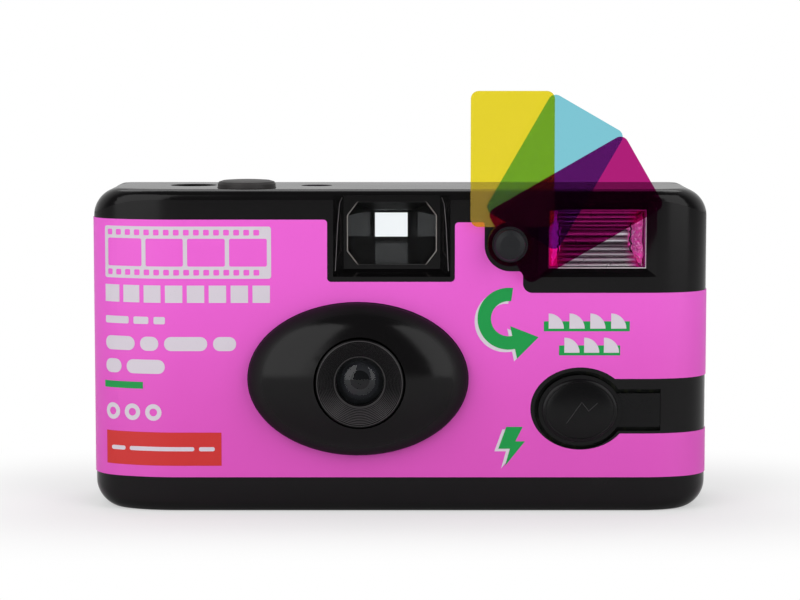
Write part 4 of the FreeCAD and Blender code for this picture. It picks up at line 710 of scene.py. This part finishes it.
# Flash: a bright metallised trough with a clear tube across it, behind a clear pane.
# The trough is lined with fluted foil, folded over at its two ends; its valleys are painted darker, as
# painted shade.
# At the ends its colour is painted pink, as painted reflection of the label and of the leaves.
flash_x = 37.5
flash_z = 52.1
flute_pitch = 0.927
bright_foil, graph = finish("bright_foil")
# Painted reflection: the foil turns pink towards the trough's ends.
outer = graph.step(abs(graph.split(graph.place())[0] - flash_x * mm), 0.0052, 0.0078)
wrinkles = graph.noise(900.0, 4.0, 0.7)
level = graph.split(graph.place())[2] - flash_z * mm
wave = graph.math("COSINE", level * (2 * math.pi / (flute_pitch * mm)))
# Painted shade: the foil is darker in the flutes' valleys.
painted_valley_shade = graph.step(wave + wrinkles, 0.75, 1.35)
ribbed = graph.blend(painted_valley_shade, srgb(238, 230, 234), srgb(132, 118, 126))
coat(graph, {"Base Color": graph.blend(outer, ribbed, srgb(240, 70, 190)), "Metallic": 1.0,
             "Roughness": 0.2 + 0.2 * wrinkles, "Normal": graph.bump(wrinkles, 0.12, 0.0004)})
dress(bright_foil, "flash_reflector")
flute_inputs = {"Flutes": 12, "Length": 0.0150, "Flute radius": 0.00062, "Half height": 0.0051,
                "Flat half": 0.0019, "Slope": 1.55, "Back": -0.0066}
graph, (flutes, length, bulge, half, flat, slope, back) = geometry_tree("reflector_flutes", flute_inputs)
number = graph.node("GeometryNodeInputIndex", {}, {})
up = number * (2 * half) / (flutes - 1) - half
forward = graph.math("MAXIMUM", abs(up) - flat, 0.0) * slope
spots = graph.node("GeometryNodeMeshLine", {}, {"Count": flutes})
spots = graph.node("GeometryNodeSetPosition", {}, {
    "Geometry": spots, "Position": graph.node("ShaderNodeCombineXYZ", {}, {"Y": back - forward, "Z": up})})
bar = graph.node("GeometryNodeMeshCylinder", {}, {"Vertices": 12, "Radius": bulge, "Depth": length})
bars = graph.node("GeometryNodeInstanceOnPoints", {}, {
    "Points": spots, "Instance": bar, "Rotation": (0, math.pi / 2, 0)})
bars = graph.node("GeometryNodeTransform", {}, {"Geometry": bars,
                                                "Translation": (flash_x * mm, 0, flash_z * mm)})
grow("reflector_flutes", graph, bars, bright_foil, flute_inputs, "camera_body")


def crumpled_foil(name, side, back_half, material):
    """Foil pushed into one end of the trough: a thin sheet with creases from a fixed seed."""
    draws = random.Random(11 + side)
    across, up = 5, 16
    mouth_y, floor_y = -12.0, -6.8
    mouth_half_height, back_half_height = 5.25, 2.1
    front_x, back_x = flash_x + side * 8.9, flash_x + side * back_half
    sheet = bmesh.new()
    grid = []
    for thickness in (0.0, 0.07):
        for i in range(across + 1):
            deep = i / across
            y = mouth_y + (floor_y - mouth_y) * deep
            half_height = mouth_half_height * (1 - deep) + back_half_height * deep
            for j in range(up + 1):
                crease = grid[i * (up + 1) + j][1] + thickness if thickness else draws.uniform(0.05, 0.5)
                x = front_x + (back_x - front_x) * deep - side * crease
                z = flash_z + half_height * (2 * j / up - 1)
                grid.append((sheet.verts.new((x * mm, y * mm, z * mm)), crease))
    rows = up + 1
    total = (across + 1) * rows
    for i in range(across):
        for j in range(up):
            corners = (i * rows + j, i * rows + j + 1, (i + 1) * rows + j + 1, (i + 1) * rows + j)
            for start in (0, total):
                sheet.faces.new([grid[start + k][0] for k in corners])
    rim = ([i * rows for i in range(across)] + [across * rows + j for j in range(up)]
           + [i * rows + up for i in range(across, 0, -1)] + [j for j in range(up, 0, -1)])
    for first, second in zip(rim, rim[1:] + rim[:1]):
        sheet.faces.new([grid[k][0] for k in (first, second, second + total, first + total)])
    bmesh.ops.triangulate(sheet, faces=sheet.faces[:])
    return closed_piece(name, sheet, material, "camera_body", 8.0)


def trapped_light(name, glow):
    """Foil whose glow is painted light, standing in for the light thrown about inside the trough; streaked
    along its creases.
    """
    material, graph = finish(name)
    streak = graph.step(graph.noise(1400.0, 4.0, 0.7), 0.48, 0.7)
    coat(graph, {"Base Color": graph.blend(streak, srgb(250, 70, 180), srgb(255, 206, 236)),
                 "Metallic": 0.45, "Roughness": 0.2 + 0.15 * streak,
                 "Normal": graph.bump(streak, 0.2, 0.0002),
                 "Emission Color": graph.blend(streak, srgb(240, 130, 230), srgb(250, 190, 240)),
                 "Emission Strength": glow})
    return material


# The end foils glow as painted light, the left far more than the right.
crumpled_foil("trough_end_foil_left", -1, 6.9, trapped_light("end_foil_left", 1.25))
crumpled_foil("trough_end_foil_right", 1, 6.4, trapped_light("end_foil_right", 0.05))
# Dark beads along the folds at the trough's ends: painted shade.
fold_shade = eroded("fold_shade", srgb(30, 14, 24), 0.5, 3000.0, 0.1)
fold_y = -9.0
fold_top = 4.4
fold_step = 0.55
draws = random.Random(5)
for side, fold_half, label in ((-1, 7.15, "left"), (1, 6.65, "right")):
    fold = [(flash_x + side * fold_half + draws.uniform(-0.22, 0.22), fold_y,
             flash_z + fold_top - fold_step * i) for i in range(17)]
    bead("trough_fold_" + label, fold, 0.16, fold_shade, "camera_body", closed=False)
# The pane's edge is a near-white bead: painted highlight where the edge catches the light.
pane_edge_painted_highlight, graph = finish("pane_edge_painted_highlight")
chip = graph.noise(700.0, 3.0)
coat(graph, {"Base Color": graph.blend(chip, srgb(236, 230, 234), srgb(196, 186, 192)),
             "Roughness": 0.15 + 0.2 * chip, "Normal": graph.bump(chip, 0.1, 0.0001)})
pane_y = -13.2
pane_corners = ((-9.2, -5.5), (9.2, -5.5), (9.2, 5.5), (-9.2, 5.5))
bead("flash_pane_edge", [(flash_x + x, pane_y, flash_z + z) for x, z in pane_corners], 0.13, pane_edge_painted_highlight,
     "camera_body")

# Springs, contacts, screws, hinge pin, stop and shutter blade: steel wire and sheet, drawn or rolled.
# That leaves fine lines along it. The flash switch's contact is brass; blade and stop are blackened.


def drawn_metal(name, colour, gloss):
    """Bare or blackened metal with fine lines along its height and duller clouds."""
    material, graph = finish(name)
    stretched = graph.node("ShaderNodeMapping", {}, {"Vector": graph.place(), "Scale": (1.0, 1.0, 0.06)})
    lines = graph.noise(5200.0, 2.0, 0.5, stretched)
    dull = graph.noise(300.0, 3.0)
    darker = tuple(part * 0.7 for part in colour[:3]) + (1.0,)
    coat(graph, {"Base Color": graph.blend(graph.step(dull, 0.5, 0.8) * 0.6, colour, darker),
                 "Metallic": 1.0, "Roughness": gloss + 0.16 * lines,
                 "Normal": graph.bump(lines, 0.1, 0.00004)})
    return material


steel = drawn_metal("steel", srgb(186, 186, 188), 0.22)
contact_metal = drawn_metal("contact_metal", srgb(206, 176, 110), 0.24)
dress(steel, "hinge_pin", "blade_spring", "button_spring", "battery_contact_spring",
      "battery_contact_plus", "housing_screws", "pressure_spring")
dress(contact_metal, "flash_switch_contact")
blackened = drawn_metal("blackened_steel", srgb(40, 40, 43), 0.4)
dress(blackened, "shutter_blade")
dress(eroded("stop_black", srgb(56, 56, 58), 0.55, 3000.0, 0.08), "aperture_plate")

# Flash circuit: a laminate board with printed tracks under a dark green mask.
# It carries a sleeved capacitor and a taped transformer. These two, the battery and the film
# cartridge are plain coloured cans, each with one printed band.
board_laminate, graph = finish("board_laminate")
wander = graph.noise(90.0, 2.0) * 0.0016
across = graph.split(graph.place())[0] + wander
tracks = (graph.math("SINE", across * 2600.0) > 0.55) * (graph.noise(150.0) > 0.48)
coat(graph, {"Base Color": graph.blend(tracks, srgb(22, 30, 22), srgb(44, 50, 30)),
             "Roughness": 0.4 + 0.2 * graph.noise(500.0), "Normal": graph.bump(tracks, 0.4, 0.00005)})
dress(board_laminate, "flash_circuit_board")


def banded(name, ground, band, low, high, gloss, metallic=0.0):
    """A printed can or sleeve: a plain ground with one band at a height, fine scuffs over both."""
    material, graph = finish(name)
    height = graph.split(graph.place())[2]
    mask = graph.step(height, low, low + 0.0002) * (1 - graph.step(height, high, high + 0.0002))
    scuff = graph.step(graph.noise(700.0, 5.0, 0.7), 0.58, 0.75) * 0.4
    colours = graph.blend(mask, ground, band)
    coat(graph, {"Base Color": graph.blend(scuff, colours, srgb(150, 150, 150)), "Metallic": metallic,
                 "Roughness": gloss + scuff * 0.3, "Normal": graph.bump(graph.noise(900.0), 0.06, 0.00005)})
    return material


dress(banded("capacitor_sleeve", srgb(30, 32, 60), srgb(170, 172, 176), 0.0085, 0.0105, 0.3),
      "flash_capacitor")
dress(banded("transformer_tape", srgb(196, 160, 40), srgb(60, 58, 55), 0.0, 0.0056, 0.45),
      "flash_transformer")
dress(banded("battery_sleeve", srgb(40, 44, 52), srgb(190, 150, 60), 0.0420, 0.0530, 0.28, 0.4), "battery")
dress(banded("cartridge_paint", srgb(196, 200, 204), srgb(36, 140, 88), 0.0140, 0.0290, 0.34, 0.3),
      "film_cartridge")

# Film: grey-brown base with a glossy back, wound on the supply spool and led over the gate.
# Its two rows of punched holes show dark; where the sprocket's teeth fill the upper row, none is laid.
film_base, graph = finish("film_base")
wave = graph.noise(60.0, 2.0)
coat(graph, {"Base Color": graph.blend(wave, srgb(66, 52, 62), srgb(92, 74, 82)),
             "Roughness": 0.16 + 0.12 * graph.noise(400.0), "Coat Weight": 0.4,
             "Normal": graph.bump(wave, 0.1, 0.0004)})
dress(film_base, "film_strip", "film_roll")
film_middle = 0.0255
teeth_x = -0.0193
teeth_half = 0.0055
cell_depth = 0.00004
shade_black = eroded("perforation_shade", srgb(12, 12, 12), 0.6, 3000.0, 0.1)
hole_inputs = {"Holes": 11, "Pitch": 0.00475, "First": -0.0325, "Height": 0.0159, "Width": 0.00198,
               "Tall": 0.0028, "Depth": 0.01215}
graph, (holes, pitch, first, height, width, tall, depth) = geometry_tree("film_perforations", hole_inputs)
number = graph.node("GeometryNodeInputIndex", {}, {})
top_row = number > holes - 0.5
place = number - top_row * holes
along = first + place * pitch
clear_of_teeth = graph.math("MAXIMUM", 1 - top_row, abs(along - teeth_x) > teeth_half)
spots = graph.node("GeometryNodeMeshLine", {}, {"Count": holes * 2})
spots = graph.node("GeometryNodeSetPosition", {}, {
    "Geometry": spots, "Position": graph.node("ShaderNodeCombineXYZ", {}, {
        "X": along, "Y": depth, "Z": film_middle - height + top_row * height * 2})})
size = graph.node("ShaderNodeCombineXYZ", {}, {"X": width, "Y": cell_depth, "Z": tall})
cell = graph.node("GeometryNodeMeshCube", {}, {"Size": size})
cells = graph.node("GeometryNodeInstanceOnPoints", {}, {"Points": spots, "Instance": cell,
                                                        "Selection": clear_of_teeth})
grow("film_perforations", graph, cells, shade_black, hole_inputs, "camera_body")

# Ready lamp: a small lens of orange plastic, pressed into the rear cover.
# It lets a little light sink in, and its polished face shines.
lamp_amber, graph = finish("lamp_amber")
core = graph.noise(900.0, 2.0)
coat(graph, {"Base Color": graph.blend(core, srgb(232, 92, 40), srgb(250, 140, 70)), "Roughness": 0.12,
             "Normal": graph.bump(core, 0.1, 0.0001), "Coat Weight": 0.6, "Subsurface Weight": 0.3,
             "Subsurface Radius": (0.002, 0.001, 0.0005)})
dress(lamp_amber, "ready_lamp")

# Exposure counter: a dial of white plastic that turns under a smoked window in the top face.
# It is printed in black with ticks all round, and a plain number stands at every third tick.
dial_white, graph = finish("dial_white")
mottle = graph.noise(500.0, 3.0)
coat(graph, {"Base Color": graph.blend(mottle, srgb(232, 231, 226), srgb(214, 213, 208)),
             "Roughness": 0.36 + 0.1 * mottle, "Normal": graph.bump(mottle, 0.06, 0.00004)})
dress(dial_white, "counter_dial")
dress(tinted("window_smoke", (0.62, 0.62, 0.64, 1.0), 0.03, 0.12), "counter_window")
dial_x = -18.2
dial_y = 5.3
dial_top = 57.2
print_lift = 0.02
dial_marks = 39
number_ring = 6.1
ink_black = ink("ink_black", srgb(24, 24, 26))
tick_inputs = {"Ticks": dial_marks, "Radius": 0.0076, "Tick length": 0.0009, "Tick width": 0.00016}
graph, (ticks, radius, tick_length, tick_width) = geometry_tree("dial_ticks", tick_inputs)
number = graph.node("GeometryNodeInputIndex", {}, {})
turn = number * (2 * math.pi) / ticks
spots = graph.node("GeometryNodeMeshLine", {}, {"Count": ticks})
ring = graph.node("ShaderNodeCombineXYZ", {}, {"X": graph.math("COSINE", turn) * radius,
                                               "Y": graph.math("SINE", turn) * radius})
spots = graph.node("GeometryNodeSetPosition", {}, {"Geometry": spots, "Position": ring})
mark = graph.node("ShaderNodeCombineXYZ", {}, {"X": tick_length, "Y": tick_width, "Z": 0.00004})
mark = graph.node("GeometryNodeMeshCube", {}, {"Size": mark})
facing = graph.node("ShaderNodeCombineXYZ", {}, {"Z": turn})
marks = graph.node("GeometryNodeInstanceOnPoints", {}, {"Points": spots, "Instance": mark,
                                                        "Rotation": facing})
marks = graph.node("GeometryNodeTransform", {}, {
    "Geometry": marks, "Translation": (dial_x * mm, dial_y * mm, (dial_top + print_lift) * mm)})
grow("dial_ticks", graph, marks, ink_black, tick_inputs, "counter")


def dial_number(value, turn):
    """A plain number on the dial, upright towards its rim."""
    name = "dial_number_%02d" % value
    letters = bpy.data.curves.new(name, "FONT")
    letters.body = str(value)
    letters.size = 0.0017
    letters.align_x = "CENTER"
    letters.align_y = "CENTER"
    letters.extrude = 0.00001
    letters.resolution_u = 3
    carrier = bpy.data.objects.new(name, letters)
    bpy.context.scene.collection.objects.link(carrier)
    shape = bmesh.new()
    shape.from_mesh(bpy.data.meshes.new_from_object(carrier))
    bmesh.ops.remove_doubles(shape, verts=shape.verts[:], dist=0.000001)
    bpy.data.objects.remove(carrier)
    bpy.data.curves.remove(letters)
    spot = Vector((dial_x + number_ring * math.cos(turn), dial_y + number_ring * math.sin(turn),
                   dial_top + print_lift))
    shape.transform(Matrix.Translation(spot * mm) @ Matrix.Rotation(turn - math.pi / 2, 4, "Z"))
    return closed_piece(name, shape, ink_black, "counter")


for count in range(0, dial_marks, 3):
    dial_number(count, 2 * math.pi * count / dial_marks)

# Stage: a pale floor that turns white away from the object, three softboxes and the photograph's camera.
# The surroundings are white to the camera, and so is their far side through clear pieces.
# In reflections and as fill light they are dimmer.
floor_half = 3.0
floor_mesh = bpy.data.meshes.new("floor")
floor_mesh.from_pydata([(-floor_half, -floor_half, 0), (floor_half, -floor_half, 0),
                        (floor_half, floor_half, 0), (-floor_half, floor_half, 0)], [], [(0, 1, 2, 3)])
floor = bpy.data.objects.new("floor", floor_mesh)
bpy.context.scene.collection.objects.link(floor)
floor_white, graph = finish("floor_white")
seen, passed = graph.node("ShaderNodeLightPath", {}, {}, ("Is Camera Ray", "Is Transmission Ray"))
dull = graph.node("ShaderNodeBsdfDiffuse", {}, {"Color": (0.82, 0.82, 0.82, 1.0)})
glow = graph.node("ShaderNodeEmission", {}, {"Color": (1.0, 1.0, 1.0, 1.0), "Strength": 1.0})
x, y = graph.split(graph.place())[:2]
shade_half_width = 0.055
shade_half_depth = 0.01
shade_reach = 0.06
behind_object = y > 0.03
beside = graph.math("MAXIMUM", abs(x) - shade_half_width, 0.0)
before = graph.math("MAXIMUM", abs(y) - shade_half_depth, 0.0)
far = graph.step(graph.math("SQRT", beside * beside + before * before), 0.0, shade_reach)
share = graph.math("MINIMUM", seen + passed * behind_object, 1.0) * (0.5 + 0.5 * far)
mixed = graph.node("ShaderNodeMixShader", {}, {0: share, 1: dull, 2: glow})
graph.node("ShaderNodeOutputMaterial", {}, {"Surface": mixed})
floor_mesh.materials.append(floor_white)

world = bpy.data.worlds.new("studio")
bpy.context.scene.world = world
world.use_nodes = True
world.node_tree.nodes.clear()
graph = Graph(world.node_tree)
seen, mirrored, passed = graph.node("ShaderNodeLightPath", {}, {},
                                    ("Is Camera Ray", "Is Glossy Ray", "Is Transmission Ray"))
heading = graph.node("ShaderNodeTexCoord", {}, {}, "Generated")
behind = graph.step(graph.split(heading)[1], -0.1, 0.5)
fill, white, room, pale = [
    graph.node("ShaderNodeBackground", {}, {"Color": (1.0, 1.0, 1.0, 1.0), "Strength": strength})
    for strength in (0.28, 1.0, 0.14, 0.6)]
in_gloss = graph.node("ShaderNodeMixShader", {}, {0: behind, 1: room, 2: pale})
through_glass = graph.node("ShaderNodeMixShader", {}, {0: behind, 1: room, 2: white})
sky = graph.node("ShaderNodeMixShader", {}, {0: mirrored, 1: fill, 2: in_gloss})
sky = graph.node("ShaderNodeMixShader", {}, {0: passed, 1: sky, 2: through_glass})
sky = graph.node("ShaderNodeMixShader", {}, {0: seen, 1: sky, 2: white})
graph.node("ShaderNodeOutputWorld", {}, {"Surface": sky})


def softbox(name, place, aim, width, height, power):
    """A rectangular area light, turned to face a point."""
    light = bpy.data.lights.new(name, "AREA")
    light.shape = "RECTANGLE"
    light.size = width
    light.size_y = height
    light.energy = power
    lamp = bpy.data.objects.new(name, light)
    lamp.location = place
    lamp.rotation_euler = (Vector(aim) - Vector(place)).to_track_quat("-Z", "Y").to_euler()
    bpy.context.scene.collection.objects.link(lamp)


middle = (0, 0, 0.035)
softbox("left_softbox", (-0.605, -0.647, 0.465), middle, 0.89, 1.04, 5.8)
softbox("right_softbox", (0.69, -0.54, 0.465), middle, 0.68, 1.04, 4.3)
softbox("top_softbox", (0.0, 0.45, 0.8), middle, 0.9, 0.5, 3.0)

look_down = 5.41
lens = bpy.data.cameras.new("photograph")
lens.sensor_width = 36.0
lens.lens = 119.2
lens.clip_start = 0.01
camera = bpy.data.objects.new("photograph", lens)
camera.location = (0.0, -0.515, 0.088)
camera.rotation_euler = (math.radians(90 - look_down), 0.0, 0.0)
bpy.context.scene.collection.objects.link(camera)
bpy.context.scene.camera = camera
bpy.context.scene.view_settings.view_transform = "Standard"
